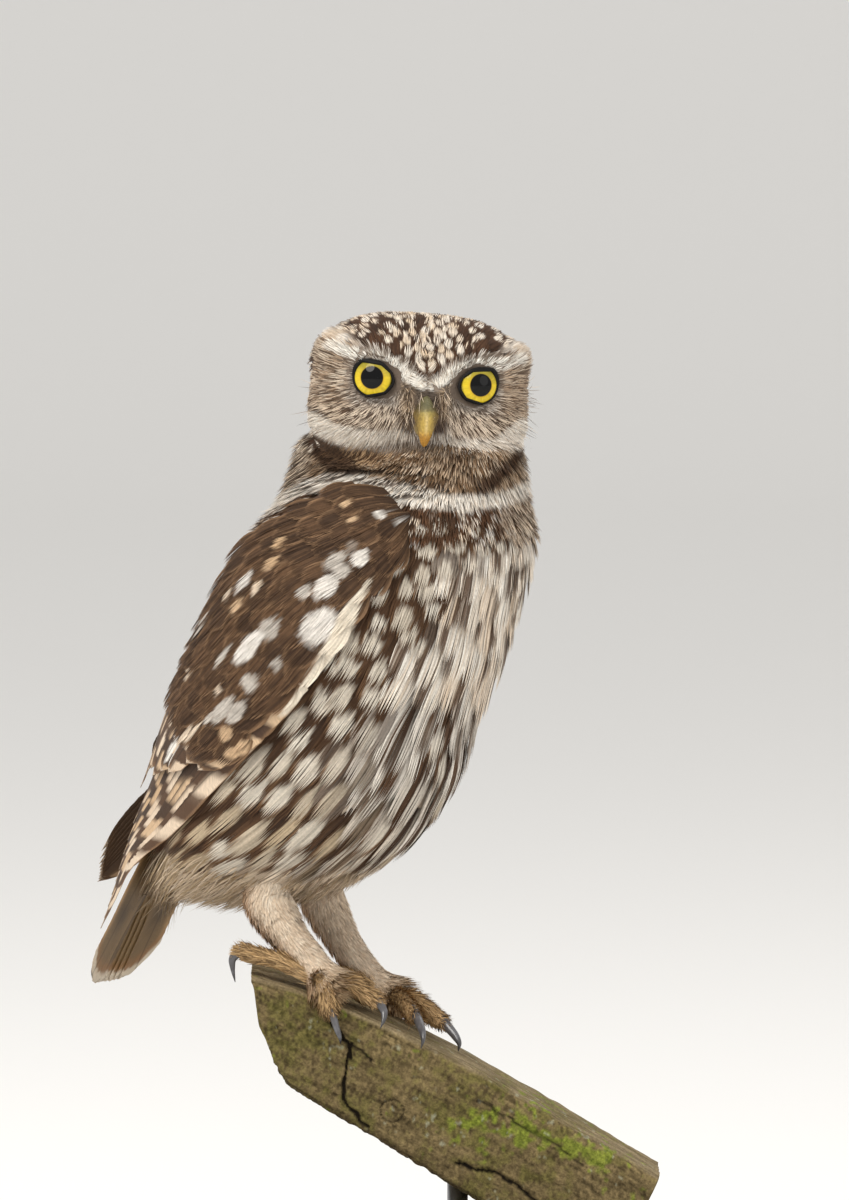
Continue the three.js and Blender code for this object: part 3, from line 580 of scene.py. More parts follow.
def trunkLie(at, normal):
    # Feathers run down the body, and more towards the tail the lower they are
    back = np.interp(at[:, 2], [120, 140, 155, 175, 200, 225, 245], [2.2, 1.7, 1.3, 1.1, 0.85, 0.4, 0.1])
    return unit(flatten(stack(-back, 0, -1), normal))


def paintTrunk(s, t, middle, roots, draw):
    # A pale oval near each feather's tip on brown: round on the breast, long on the flanks. The chest is
    # cream with brown streaks, the vent plain, the back brown with buff drops.
    chance, second, third, strand = chances(draw, t, 3, -1)
    z, angle, step = roots["at"][..., 2], roots["angle"], roots["step"]
    low = ramp(205, 165, z)
    lowest = ramp(172, 150, z)
    halfLong = (mix(0.46, 0.6, low) + 0.45 * lowest) * mix(0.66, 1.3, chance) * step
    halfWide = mix(0.6, 0.5, low) * mix(0.72, 1.25, second)
    ahead = (s - 1) * roots["length"] + (mix(0.5, 0.66, low) + 0.3 * lowest) * step + 0.8 * strand
    oval = (ahead / halfLong) ** 2 + ((t + 0.06 * strand) / halfWide) ** 2
    drop = ramp(1.3, 0.75, oval)
    rim = ramp(2.3, 1.1, oval) * (1 - drop) * ramp(-0.2, 0.6, ahead / halfLong)
    dark = over((56, 38, 25), (96, 68, 45), 0.5 * second + 0.25 + 0.25 * strand)
    pale = over((234, 226, 212), (194, 182, 164), 0.6 * chance + 0.2 + 0.2 * strand,
                (184, 160, 124), 0.8 * ramp(185, 150, z) * ramp(1.0, 0.2, second))
    chest = np.exp(-((np.abs(angle - 2) / 37) ** 4 + (np.abs(z - 213) / 23) ** 4))
    streak = ramp(0.55, 0.2, np.abs(t - 0.5 * np.sign(third - 0.5) + 0.2 * strand)) * ramp(0.35, 0.5, second)
    light = over("cream", (246, 241, 231), 0.6 + 0.4 * strand, "buff", 0.35 * ramp(0.65, 0.95, third),
                 dark, 0.93 * streak * ramp(-2.2, -1.2, ahead / step))
    belly = ramp(45, 20, np.abs(angle + 4)) * ramp(196, 184, z)
    streaked = over("white", pale, 0.5, dark, ramp(0.54, 0.32, np.abs(t + 0.25 * strand)))
    plain = over("cream", (160, 134, 98), 0.7 * chance, "cream", 0.4 * ramp(0.2, 0.9, strand))
    spot = ramp(1.3, 0.7, (ahead / (0.3 * step)) ** 2 + (t / 0.36) ** 2) * ramp(0.45, 0.6, chance)
    back = over("brown", "warm", 0.3 + 0.3 * second + 0.3 * strand, "buff", spot)
    return over(dark, pale, 0.95 * drop, "tan", 0.45 * rim,
                light, ramp(0.25, 0.5, chest + 0.4 * (chance - 0.5)),
                streaked, belly * ramp(0.15, 0.4, chance),
                plain, ramp(152, 136, z + 9 * np.cos(np.radians(angle + 60)) + 9 * (chance - 0.5)),
                back, ramp(92, 118, np.abs(angle + 4)))


def coverTrunk():
    pace = [(110, 9.0, 7.2), (150, 12.5, 7.8), (178, 12.0, 7.8), (200, 9.0, 7.4), (215, 7.4, 7.2),
            (240, 5.8, 6.4)]
    roots = trunkRoots(pace, 112, 243, 11)
    roots["lie"] = trunkLie(roots["at"], roots["normal"])
    roots = pickRoots(roots, roots["level"] > -3)
    z = roots["at"][:, 2]
    roots["step"] = np.interp(z, *np.array(pace, float).T[:2])
    roots["length"] = np.interp(z, [120, 150, 178, 200, 215, 240], [24, 29, 28, 23, 19, 14])
    roots["width"] = np.interp(z, [120, 180, 240], [11.0, 11.0, 9.2])
    coat = dict(seed=21, strands=34, stations=[0, 0.3, 0.48, 0.62, 0.75, 0.88, 1.0], fray=0.13, round=0.14,
                close=0.1, stray=0.035, loose=0.16, low=-2.8, high=0.15, rise=1.1, cup=0.7, strandWidth=0.62,
                streak=0.09, rootShade=0.45, relief=0.4)
    inFront = np.abs(roots["angle"] + 30) < 82
    growCoat("breastFeathers", pickRoots(roots, inFront), coat, paintTrunk, dropped(trunkHeight))
    growCoat("backFeathers", pickRoots(roots, ~inFront), coat, paintTrunk, dropped(trunkHeight))


def paintVent(s, t, middle, roots, draw):
    chance, strand = chances(draw, t, 1)
    return over(over((166, 142, 106), "cream", strand), (120, 94, 62), 0.6 * chance,
                "brown", 0.6 * ramp(0.86, 0.95, chance) * ramp(0.4, 0.7, s))


def coverVent():
    # Long loose feathers under the belly that stand off its lower edge and over the tail's root
    roots = trunkRoots([(110, 4.6, 4.6), (150, 5.4, 5.4)], 112, 141, 14)
    edge = 132 + 9 * ramp(60, 150, np.abs(roots["angle"]))
    roots = pickRoots(roots, (roots["level"] > -2) & (roots["at"][:, 2] < edge))
    x = roots["at"][:, 0]
    run = np.array([-0.95, 0, -0.75]) - 0.25 * upwards * ramp(-30, -45, x)[:, None]
    roots["lie"] = unit(flatten(run, roots["normal"], 0.82))
    roots["normal"] = unit(flatten(roots["normal"], roots["lie"]))
    roots["length"] = np.interp(x, [-55, -30, 10], [22.0, 18.0, 14.0])
    roots["width"] = np.full(len(x), 8.0)
    coat = dict(seed=24, strands=15, stations=[0, 0.3, 0.6, 0.82, 1.0], fray=0.6, rootWidth=0.5, close=0.1,
                stray=0.22, loose=0.5, low=-2.6, high=0.2, cup=0.4, strandWidth=0.42, streak=0.1,
                rootShade=0.55)
    growCoat("ventFeathers", roots, coat, paintVent, straight)


def bandHeight(angle):
    # Where the white throat band runs round the neck
    return np.interp(angle, [-180, -150, -109, -87, -70, -53, -35, -9, 30, 90, 150, 180],
                     [236, 238, 246, 245.5, 243.5, 241, 240, 242, 245, 246, 240, 236])


def paintCollar(s, t, middle, roots, draw):
    # A mottled brown ruff with a dark band under each cheek, the white throat band, then brown with pale
    # drops
    chance, second, strand = chances(draw, t, 2)
    _, y, z = np.moveaxis(owlToHead(middle), -1, 0)
    side = np.abs(y)
    angle = roots["angle"]
    above = middle[..., 2] - bandHeight(angle) + 1.2 * (chance - 0.5)
    streak = ramp(0.45, 0.6, 0.45 * chance + 0.55 * strand)
    clump = ramp(0.15, 0.45, wobble(roots["at"], 3.2, 77) + 0.5 * (roots["draw"] - 0.5))
    reach = mix(3.6, 2.0, ramp(0, 4, y))
    band = ramp(reach + 1.0, reach - 0.6, nearLine(face["necklace"], side, z) + 1.4 * (strand - 0.5))
    ruff = over((128, 101, 74), (88, 65, 45), chance,
                over((184, 154, 122), "cream", second), 0.75 * streak,
                (62, 44, 31), 0.75 * clump * ramp(0.9, 0.6, strand),
                over((52, 36, 24), (80, 55, 36), strand), 0.92 * band * ramp(13, 18, side),
                over("cream", "umber", ramp(0.4, 0.6, strand)), 0.8 * ramp(29, 32, side))
    drop = ramp(1.2, 0.75, np.hypot((s - 0.78) / 0.2, t / 0.55)) * ramp(0.35, 0.5, chance)
    below = over((96, 66, 44), (70, 49, 33), second, over("cream", "white", second), drop,
                 over("cream", (84, 58, 38), ramp(0.45, 0.6, 0.5 * strand + 0.5 * chance)),
                 ramp(-22, 4, angle) * ramp(95, 60, angle))
    bright = ramp(3.0, 1.7, np.abs(above + 0.9)) * ramp(1.0, 0.86, strand * 0.9)
    return over(below, ruff, ramp(0.6, 2.2, above),
                over((240, 236, 228), "cream", 0.6 * strand), 0.95 * bright)


def coverCollar():
    roots = trunkRoots([(230, 2.7, 3.2), (270, 2.7, 3.2)], 232, 266, 12)
    roots["at"] = dropOn(bodyHeight, roots["at"], np.zeros(len(roots["at"])), 4)[0]
    roots["normal"] = heightAndNormal(bodyHeight, roots["at"])[1]
    roots["lie"] = trunkLie(roots["at"], roots["normal"])
    roots = pickRoots(roots, headHeight(roots["at"]) > -0.6)
    count = len(roots["at"])
    roots["length"] = np.full(count, 8.0)
    roots["width"] = np.full(count, 5.4)
    roots["draw"] = np.random.default_rng(23).uniform(0, 1, count)
    coat = dict(seed=22, strands=15, stations=[0, 0.25, 0.5, 0.7, 0.86, 1.0], fray=0.3, stray=0.13,
                loose=0.35, low=-2.4, high=0.7, rise=1.1, cup=0.3, strandWidth=0.46, streak=0.12,
                rootShade=0.5, relief=0.35)
    growCoat("collarFeathers", roots, coat, paintCollar, dropped(bodyHeight))


# Curves and tubes

def curveThrough(knots, t):
    # A centripetal Catmull-Rom curve: each stretch is a cubic whose end slopes come from its neighbours
    knots = np.asarray(knots, float)
    ends = np.vstack([2 * knots[0] - knots[1], knots, 2 * knots[-1] - knots[-2]])
    beyond = np.clip(t, 0, 1) * (len(knots) - 1)
    i = np.minimum(beyond.astype(int), len(knots) - 2)
    w = (beyond - i)[..., None]
    a, b, c, d = (ends[i + k] for k in range(4))
    lengths = (np.linalg.norm(run, axis=-1)[..., None] for run in (b - a, c - b, d - c))
    e, f, g = (np.sqrt(np.maximum(length, 1e-6)) for length in lengths)
    first = ((b - a) / e - (c - a) / (e + f) + (c - b) / f) * f
    second = ((c - b) / f - (d - b) / (f + g) + (d - c) / g) * f
    cubic = 2 * b - 2 * c + first + second
    square = -3 * b + 3 * c - 2 * first - second
    return b + first * w + square * w**2 + cubic * w**3


def tube(knots, sizes, side, sides, steps):
    # A closed tube: rings of an ellipse along a curve, with rounded ends. sizes(t) gives half its width and
    # half its thickness.
    rounds = 4
    t = np.linspace(0, 1, steps + 1)
    middle = curveThrough(knots, t)
    along = unit(np.gradient(middle, axis=0))
    wide, thick = (np.broadcast_to(value, t.shape) for value in sizes(t))
    across = unit(flatten(side, along))
    bend = np.linspace(0, np.pi / 2, rounds + 1)[:-1]
    reach = np.cos(bend)[:, None]
    start = middle[0] - along[0] * reach * min(wide[0], thick[0])
    end = middle[-1] + along[-1] * reach[::-1] * min(wide[-1], thick[-1])
    grow = np.maximum(np.sin(bend), 1e-3)
    grow = np.concatenate([grow, np.ones(steps + 1), grow[::-1]])
    middle = np.vstack([start, middle, end])
    axes = across, np.cross(across, along)
    across, upward = (np.pad(axis, ((rounds, rounds), (0, 0)), "edge") for axis in axes)
    wide, thick = ((np.pad(value, rounds, "edge") * grow)[:, None] for value in (wide, thick))
    turn = circle(sides)
    ring = across[:, None] * (wide * np.cos(turn))[..., None]
    return middle[:, None] + (ring + upward[:, None] * (thick * np.sin(turn))[..., None])


# Skin

legs = {
    "spread": 16.4,
    "right": [(-16, 133, 5.5), (-18.5, 124, 7.4), (-12.4, 114, 5.5), (-4.4, 106, 4.7), (-0.4, 101.5, 4.3)],
    "left": [(-17, 133, 5.5), (-19.8, 124, 7.0), (-14.2, 112, 5.2), (-5.2, 101, 4.5), (1.5, 95.5, 4.2)],
    "featherDepth": 0.9,
}
skinSize = {"voxel": 1.3, "columns": 120, "rows": 110, "headDepth": 1.6, "rounds": 6}


def legTube(name, grow, sides=20, steps=24):
    rows = legs[name]
    radii = [[i / (len(rows) - 1), row[2]] for i, row in enumerate(rows)]

    def sizes(t):
        radius = smoothRows(radii, t)[0]
        return radius * 0.93 + grow, radius + grow

    return tube([(x, sideOf[name] * legs["spread"], z) for x, z, _ in rows], sizes, leftwards, sides, steps)


def makeSkin():
    # Trunk, head and legs, each a little inside its solid, joined into one closed surface
    u, v = np.meshgrid(circle(skinSize["columns"]), np.linspace(0, 1, skinSize["rows"]))
    grow = -bodyCoat["depth"]
    low, high = trunk["bottom"] - grow, trunk["top"] + grow
    body = trunkPoint(u, low + (high - low) * (1 - np.cos(np.pi * v)) / 2, grow)
    latitude = np.pi * (v - 0.5)
    direction = stack(np.cos(latitude) * np.cos(u), np.cos(latitude) * np.sin(u), np.sin(latitude))
    skull = headToOwl(direction * (headRadius(direction) - skinSize["headDepth"])[..., None])
    forms = (body, skull, *(legTube(name, -legs["featherDepth"]) for name in sideOf))
    shells = [gridMesh(rings) for rings in forms]
    starts = np.cumsum([0] + [len(points) for points, _ in shells[:-1]])
    faces = np.concatenate([faces + start for (_, faces), start in zip(shells, starts)])
    rough = bpy.data.meshes.new("skinShells")
    rough.from_pydata(np.concatenate([points for points, _ in shells]).tolist(), [], faces.tolist())
    holder = link("skinShells", rough)
    remesh = holder.modifiers.new("oneSkin", "REMESH")
    remesh.mode = "VOXEL"
    remesh.voxel_size = skinSize["voxel"]
    holder.modifiers.new("relax", "SMOOTH").iterations = skinSize["rounds"]
    joined = bpy.data.meshes.new_from_object(holder.evaluated_get(bpy.context.evaluated_depsgraph_get()))
    at = np.empty(len(joined.vertices) * 3, np.float32)
    joined.vertices.foreach_get("co", at)
    corners = np.empty(len(joined.loops), np.int32)
    joined.loops.foreach_get("vertex_index", corners)
    bpy.data.objects.remove(holder)
    at = at.reshape(-1, 3).astype(float)
    limbs = [f"{part}_{side}" for part in ("thigh", "tarsus") for side in sideOf]
    replaced = ["head", "neck", "torso", *limbs]
    addPiece("skin", toWorld(at), corners.reshape(-1, 4), coatFinish, replaced, skinTint(at))


def skinTint(at):
    # The coat's own colours, softened: brown back and collar, pale underparts, dusky about the eyes
    x, y, z = owlToHead(at).T
    back = ramp(95, 130, np.abs(np.degrees(np.arctan2(at[:, 1], at[:, 0] - 5)) + 10))
    low = ramp(165, 140, at[:, 2])
    front = ramp(8, 14, x) * ramp(-18, -12, z)
    eyeAway = np.hypot(np.abs(y) - face["eye"][1], z - face["eye"][2])
    onHead = over("brown", "grey", front, (104, 91, 80), front * ramp(9.5, 7.5, eyeAway))
    return over(over("brown", "ash", 0.45), "cream", low, "brown", back * (1 - low),
                onHead, ramp(243, 250, at[:, 2]))


# Head feathers

face = {
    "eye": np.array([12.4, 13.9, 3.7]),
    "eyeRadius": 8.2,
    "eyeTurn": 14.0,
    "opening": 5.2,  # radius of the opening between the lids
    "lidTop": 3.8,  # where the upper lid cuts it
    "lidBottom": 4.75,  # where the lower lid cuts it
    "flowFrom": np.array([20.0, 3.5, 1.0]),  # the face's feathers run away from here, beside the bill's root
    "brow": [(1.5, 2.6), (5, 4.6), (8, 6.8), (12, 8.6), (17, 9.7), (22.5, 10.2), (28, 12.0)],
    "rightCheek": [(6, -12.5), (14, -14.0), (19.8, -14.2), (25, -13.4), (31, -10.4)],
    "leftCheek": [(6, -13), (10, -15), (17.5, -16.8), (23.4, -14.8), (30, -9.4)],
    "necklace": [(31.5, -10), (30, -13.5), (26.6, -18.6), (22, -22.5), (18, -26)],
}


def lidOpening(u):
    # The opening's radius at an angle from the bill's side (0) through the top (a quarter turn): round, cut
    # by both lids and drawn down towards the bill
    cosine, sine = np.cos(u), np.sin(u)
    top = face["lidTop"] / np.maximum(sine + 0.1 * cosine, 0.05)
    inner = 4.25 / np.maximum(0.6 * cosine + 0.8 * sine, 0.05)
    bottom = face["lidBottom"] / np.maximum(0.25 * cosine - sine, 0.05)
    rounded = face["opening"] + 0.5 * nearAngle(u, -0.15, 0.25)
    return np.minimum(np.minimum(rounded, bottom), np.minimum(top, inner))


def headRoots(spacing, seed):
    # Rings of roots about the bill's axis. Their feathers run away from the bill and from the eyes.
    draw = np.random.default_rng(seed)
    step = spacing / 26
    found = []
    for number, theta in enumerate(np.arange(step / 2, np.pi, step)):
        count = max(3, round(fullTurn * math.sin(theta) * 28 / spacing))
        phi = staggered(draw, count, number, 0.16)
        found.append(stack(theta + draw.normal(0, 0.12, count) * step, phi))
    theta, phi = np.concatenate(found).T
    theta = np.clip(theta, 0.01, np.pi - 0.01)
    direction = stack(np.cos(theta), np.sin(theta) * np.cos(phi), np.sin(theta) * np.sin(phi))
    local = direction * headRadius(direction)[:, None]
    x, y, z = local.T
    roots = {"local": local, "at": headToOwl(local), "map": mapPlace(phi / fullTurn % 1, theta / np.pi)}
    roots["normal"] = heightAndNormal(bodyHeight, roots["at"])[1]
    mirror = stack(1.0, np.sign(y), 1.0)
    eyeAway = local - face["eye"] * mirror
    distance = np.linalg.norm(eyeAway[:, 1:], axis=1)
    nearEye = (np.exp(-((distance / 10.5) ** 2)) * (x > 5))[:, None]
    run = unit(local - face["flowFrom"] * mirror) * (1 - 0.85 * nearEye) + unit(eyeAway) * 0.85 * nearEye
    run = run - upwards * (0.9 * ramp(6, -14, x) + 0.5 * ramp(-11, -16, z))[:, None]
    run = flatten(run @ headTurn.T, roots["normal"])
    roots["lie"] = unit(run + draw.normal(0, 0.09, run.shape))
    roots["lid"] = distance - lidOpening(np.arctan2(eyeAway[:, 2], -eyeAway[:, 1] * mirror[:, 1]))
    bare = (roots["lid"] < 0.45) & (x > 5)
    bill = (np.abs(y) < 2.2) & (z < -3.5) & (z > -9) & (x > 10)
    return pickRoots(roots, ~bare & ~bill & (trunkHeight(roots["at"]) >= -1.5))


def nearLine(line, y, z):
    # The distance from places on the face to a line of named points
    best = np.full(np.broadcast(y, z).shape, 1e6)
    for (y0, z0), (y1, z1) in zip(line[:-1], line[1:]):
        runY, runZ = y1 - y0, z1 - z0
        along = np.clip(((y - y0) * runY + (z - z0) * runZ) / (runY**2 + runZ**2), 0, 1)
        best = np.minimum(best, np.hypot(y - y0 - along * runY, z - z0 - along * runZ))
    return best


def onFace(local):
    # True on the face, false over the crown, behind the cheeks and on the nape
    top = np.interp(np.abs(local[:, 1]), [0, 3, 8, 13, 18, 24, 30], [2.5, 4.5, 9.0, 11.3, 12.6, 12.4, 13.5])
    return (local[:, 2] < top) & (local[:, 0] > 1.5)


def paintFace(s, t, middle, roots, draw):
    chance, strand = chances(draw, t, 1)
    _, y, z = np.moveaxis(owlToHead(middle), -1, 0)
    leftSide = ramp(0, 4, y)
    y = np.abs(y)
    line = ramp(0.42, 0.62, 0.65 * strand + 0.3 * chance + 0.26 * wobble(roots["at"], 1.0, 21))
    blur = strand - 0.5
    # The disc: fine grey and white lines with brown between, warmer and browner outwards, dark by the bill
    # and the eyes
    disc = over((172, 158, 144), (218, 210, 200), chance, (96, 78, 62), 0.88 * line)
    warmLines = over((172, 142, 112), (222, 204, 180), chance, (84, 61, 43), 0.88 * line)
    eyeRing = ramp(9.0, 6.0, np.hypot(y - face["eye"][1], z - face["eye"][2]))
    lore = ramp(10, 5, y) * ramp(-11, -5, z) * ramp(5, 1, z)
    billRoot = ramp(5.2, 2.4, np.hypot(y, (z + 0.6) / 1.15))
    gape = ramp(3.2, 1.4, np.hypot(y - 4.9, (z + 8.8) / 1.3))
    streaks = ramp(-3, -6, z) * ramp(-13, -11, z) * ramp(6, 10, y)
    disc = over(disc, warmLines, 0.8 * ramp(19, 25, y),
                over((66, 58, 54), (148, 138, 128), strand), 0.75 * eyeRing,
                over((192, 164, 130), (104, 84, 64), line), 0.85 * lore,
                over((52, 46, 46), (110, 96, 84), line), 0.85 * billRoot,
                over((58, 38, 30), (104, 82, 60), line), 0.85 * gape,
                over("cream", (78, 56, 40), line), 0.75 * streaks)
    # The chin's mottled brown below the cheeks' white, a dark patch beside it, and the white cheek and brow
    low = ramp(-16.5, -19.5, z - 1.5 * (1 - leftSide) * ramp(8, 16, y) + 0.12 * (y - 12))
    mottled = over(over((108, 80, 56), (72, 52, 36), chance), over("tan", "buff", strand), line)
    chin = ramp(9, 4, y) * ramp(-13.5, -15.5, z)
    patch = ramp(4.4, 2.8, nearLine(face["necklace"], y, z) + 1.6 * leftSide + 1.2 * blur) * ramp(14, 19, y)
    away = mix(nearLine(face["rightCheek"], y, z), nearLine(face["leftCheek"], y, z), leftSide) + 0.8 * blur
    reach = mix(1.6, 2.7 + 1.2 * leftSide, ramp(6, 18, y))
    cheek = ramp(reach + 0.7, reach - 0.7, away) * mix(0.45, 1.0, ramp(5, 19 - 7 * leftSide, y))
    thick = mix(1.3, 2.0, ramp(2, 9, y)) - 0.5 * ramp(19, 25, y)
    brow = ramp(thick + 0.6, thick - 0.5, nearLine(face["brow"], y, z) + 0.7 * blur)
    return over(disc, over((124, 106, 88), (90, 74, 60), line), 0.85 * chin, mottled, low,
                over((50, 35, 24), (84, 58, 38), strand), 0.92 * patch,
                over((240, 234, 224), over("cream", "ash", 0.4), strand), 0.95 * cheek,
                over((245, 240, 230), "cream", 0.7 * ramp(0.5, 1, strand)),
                0.97 * brow * (1 - 0.6 * line * ramp(5, 9, y)))


def paintCrown(s, t, middle, roots, draw):
    # Brown with a pale drop near each feather's tip, pale corners, a white brow's edge and two pale patches
    # on the nape
    chance, second, strand = chances(draw, t, 2, -1)
    x, y, z = np.moveaxis(owlToHead(middle), -1, 0)
    y = np.abs(y)
    centre = ramp(13, 5, y)
    halfLong = mix(1.35, 2.0, centre) * mix(0.8, 1.2, second)
    halfWide = mix(0.62, 0.56, centre) * mix(0.8, 1.15, chance)
    fromTip = (1 - s) * roots["length"] - 1.5 - 0.25 * strand
    oval = np.hypot(fromTip / halfLong, (t + 0.05 * strand) / halfWide)
    spot = ramp(1.15, 0.8, oval) * (second > 0.1 + 0.16 * (1 - centre))
    corner = ramp(6.5, 3.5, np.hypot((y - 28) / 1.3, z - 12.5)) * ramp(-6, 2, x)
    brow = ramp(2.6, 1.7, nearLine(face["brow"], y, z) + 0.35 * strand) * ramp(4, 8, x)
    nape = ramp(-6, -16, x) * ramp(1.15, 0.7, np.hypot((y - 10) / 4.6, (z + 2) / 7.5) + 0.4 * (second - 0.5))
    return over(over((52, 36, 25), (88, 60, 41), 0.6 * chance + 0.2 + 0.2 * strand),
                over((216, 186, 148), (238, 230, 218), 0.2 + 0.7 * second + 0.1 * strand), 0.95 * spot,
                over("cream", "white", second), 0.8 * corner, (244, 238, 228), 0.92 * brow,
                "white", 0.8 * nape)


def coverHead():
    fine = headRoots(1.5, 61)
    fine = pickRoots(fine, onFace(fine["local"]))
    y, z = np.abs(fine["local"][:, 1]), fine["local"][:, 2]
    corner = ramp(6, 2, np.hypot(y - 28, z - 11))
    away = np.minimum(fine["lid"] + 1, np.hypot(y, z + 4) - 1)
    fine["length"] = np.interp(away, [2, 5, 12], [2.2, 4.2, 6.6]) + 2.2 * corner
    fine["width"] = np.full(len(y), 2.4)
    fine["lift"] = 1.2 * corner + 0.6 * ramp(5, 2.5, y) * ramp(3, 0, z) * ramp(-9, -4, z)
    coat = dict(seed=62, strands=7, stations=[0, 0.3, 0.6, 0.85, 1.0], fray=0.35, round=0.15, rootWidth=0.35,
                stray=0.18, loose=0.16, low=-1.5, high=0.25, cup=0.1, strandWidth=0.3, streak=0.12,
                rootShade=0.62, relief=0.35)
    growCoat("faceFeathers", fine, coat, paintFace, dropped(bodyHeight))
    coarse = headRoots(2.65, 71)
    coarse = pickRoots(coarse, ~onFace(coarse["local"]))
    x, y, z = coarse["local"].T
    coarse["length"] = np.interp(x, [-20, 5, 18], [10.0, 8.0, 6.6])
    coarse["width"] = np.interp(x, [-20, 5, 18], [6.0, 5.4, 4.6])
    coarse["lift"] = 1.5 * ramp(7, 2, np.hypot(np.abs(y) - 28, z - 13))
    coat = dict(seed=72, strands=17, stations=[0, 0.3, 0.5, 0.62, 0.75, 0.88, 1.0], fray=0.13, round=0.2,
                rootWidth=0.4, close=0.15, stray=0.05, loose=0.12, low=-1.5, high=0.3, cup=0.3,
                strandWidth=0.5, streak=0.09, rootShade=0.5, relief=0.4)
    growCoat("crownFeathers", coarse, coat, paintCrown, dropped(bodyHeight))


def paintBristle(s, t, middle, roots, draw):
    chance = draw.uniform(0, 1, (len(t), 1, 1))
    return over((58, 48, 42), (132, 112, 94), chance, "cream", roots["pale"])


def coverBristles():
    # Single stiff hairs: a fringe off the cheeks' edge, and whiskers from the lores over the bill's base
    draw = np.random.default_rng(65)
    roots = headRoots(1.3, 66)
    x, y, z = roots["local"].T
    y = np.abs(y)
    fringe = (y > 25) & (z < 8) & (z > -13) & (x > 4) & (draw.uniform(0, 1, len(x)) < 0.3)
    whisker = (y > 1.6) & (y < 6.5) & (z > -9) & (z < 1.5) & (x > 14) & (draw.uniform(0, 1, len(x)) < 0.9)
    parts = []
    for keep, pale in ((fringe, 0.25), (whisker, 0.45)):
        some = pickRoots(roots, keep)
        one = (len(some["at"]), 1)
        if keep is whisker:
            sideways = np.sign(some["local"][:, 1:2]) * draw.uniform(-0.25, 0.75, one)
            run = np.concatenate([np.full(one, 0.9), sideways, draw.uniform(-1.3, -0.35, one)], axis=1)
            some["lie"] = unit(run @ headTurn.T)
        else:
            some["lie"] = unit(some["lie"] + some["normal"] * 0.55 * draw.uniform(0.4, 1, one))
        side = unit(np.cross(some["normal"] + 0.3 * draw.normal(0, 1, (one[0], 3)), some["lie"]))
        some["normal"] = np.cross(some["lie"], side)
        some["length"] = draw.uniform(4.5, 8.5, one[0])
        some["width"] = np.ones(one[0])
        some["pale"] = draw.uniform(0, 1, one[0]) < pale
        parts.append(some)
    coat = dict(seed=67, strands=1, stations=[0, 0.25, 0.5, 0.75, 1.0], fray=0.0, round=0.0, rootWidth=0.1,
                stray=0.3, loose=0.6, low=0.0, high=-0.7, rise=2.0, cup=0.0, strandWidth=0.13, streak=0.1,
                rootShade=0.8)
    growCoat("faceBristles", joinRoots(parts), coat, paintBristle, straight)


for makeCoat in (makeSkin, coverTrunk, coverVent, coverCollar, coverHead, coverBristles):
    makeCoat()

# Eyes, lids and bill

iris = {"radius": 5.25, "pupil": 3.15, "columns": 128, "rows": 90}


def eyeFrame(side):
    # The eye's middle, and its axes out of the head and towards the head's left
    turn = math.radians(face["eyeTurn"])
    out = np.array([math.cos(turn), side * math.sin(turn), 0])
    return face["eye"] * [1, side, 1], out, np.array([-side * math.sin(turn), math.cos(turn), 0])


def makeEye(name, side):
    # A ball with the dome of the cornea, sunk where the lids cover it
    middle, out, across = eyeFrame(side)
    u = circle(iris["columns"])[None, :]
    polar = np.pi * np.linspace(0, 1, iris["rows"])[:, None] ** 1.4
    off = face["eyeRadius"] * np.sin(polar)
    beyond = off - lidOpening(np.arctan2(np.sin(u), -side * np.cos(u)))
    bulge = 0.35 * np.exp(-((off / 4.5) ** 2)) * (polar < np.pi / 2)
    ring = face["eyeRadius"] + bulge - 1.7 * ramp(0.1, 1.6, beyond) * ramp(1.9, 1.2, polar)
    sideways = across * np.cos(u)[..., None] + upwards * np.sin(u)[..., None]
    points = middle + out * (ring * np.cos(polar))[..., None] + (ring * np.sin(polar))[..., None] * sideways
    fibre = np.random.default_rng(5).uniform(-1, 1, (1, iris["columns"]))
    fibre = (fibre + np.roll(fibre, 1)) / 2
    share = np.clip((off - iris["pupil"]) / (iris["radius"] - iris["pupil"]), 0, 1)
    yellow = shade((214, 187, 44)) * (1 + 0.2 * fibre * (1 - np.abs(share - 0.5)))[..., None]
    shadow = ramp(-0.1, 0.7, np.sin(u) * off / iris["radius"])
    yellow = over(yellow, (184, 130, 30), 0.5 * ramp(0.35, 0, share),
                  (120, 112, 44), 0.6 * ramp(0.82, 1.0, share), (122, 118, 50), 0.75 * shadow)
    tint = over((4, 4, 5), yellow, ramp(-0.02, 0.05, (off - iris["pupil"]) / 2),
                (24, 20, 18), ramp(iris["radius"] - 0.1, iris["radius"] + 0.25, off),
                (20, 17, 16), ramp(0.1, 0.3, beyond), (24, 20, 18), polar > np.pi / 2)
    points, faces = gridMesh(headToOwl(points))
    tint = np.clip(tint, 0, 1).reshape(-1, 3)
    addPiece(f"{name}Eye", toWorld(points), faces, eyeFinish, [f"eye_{name}"], tint)


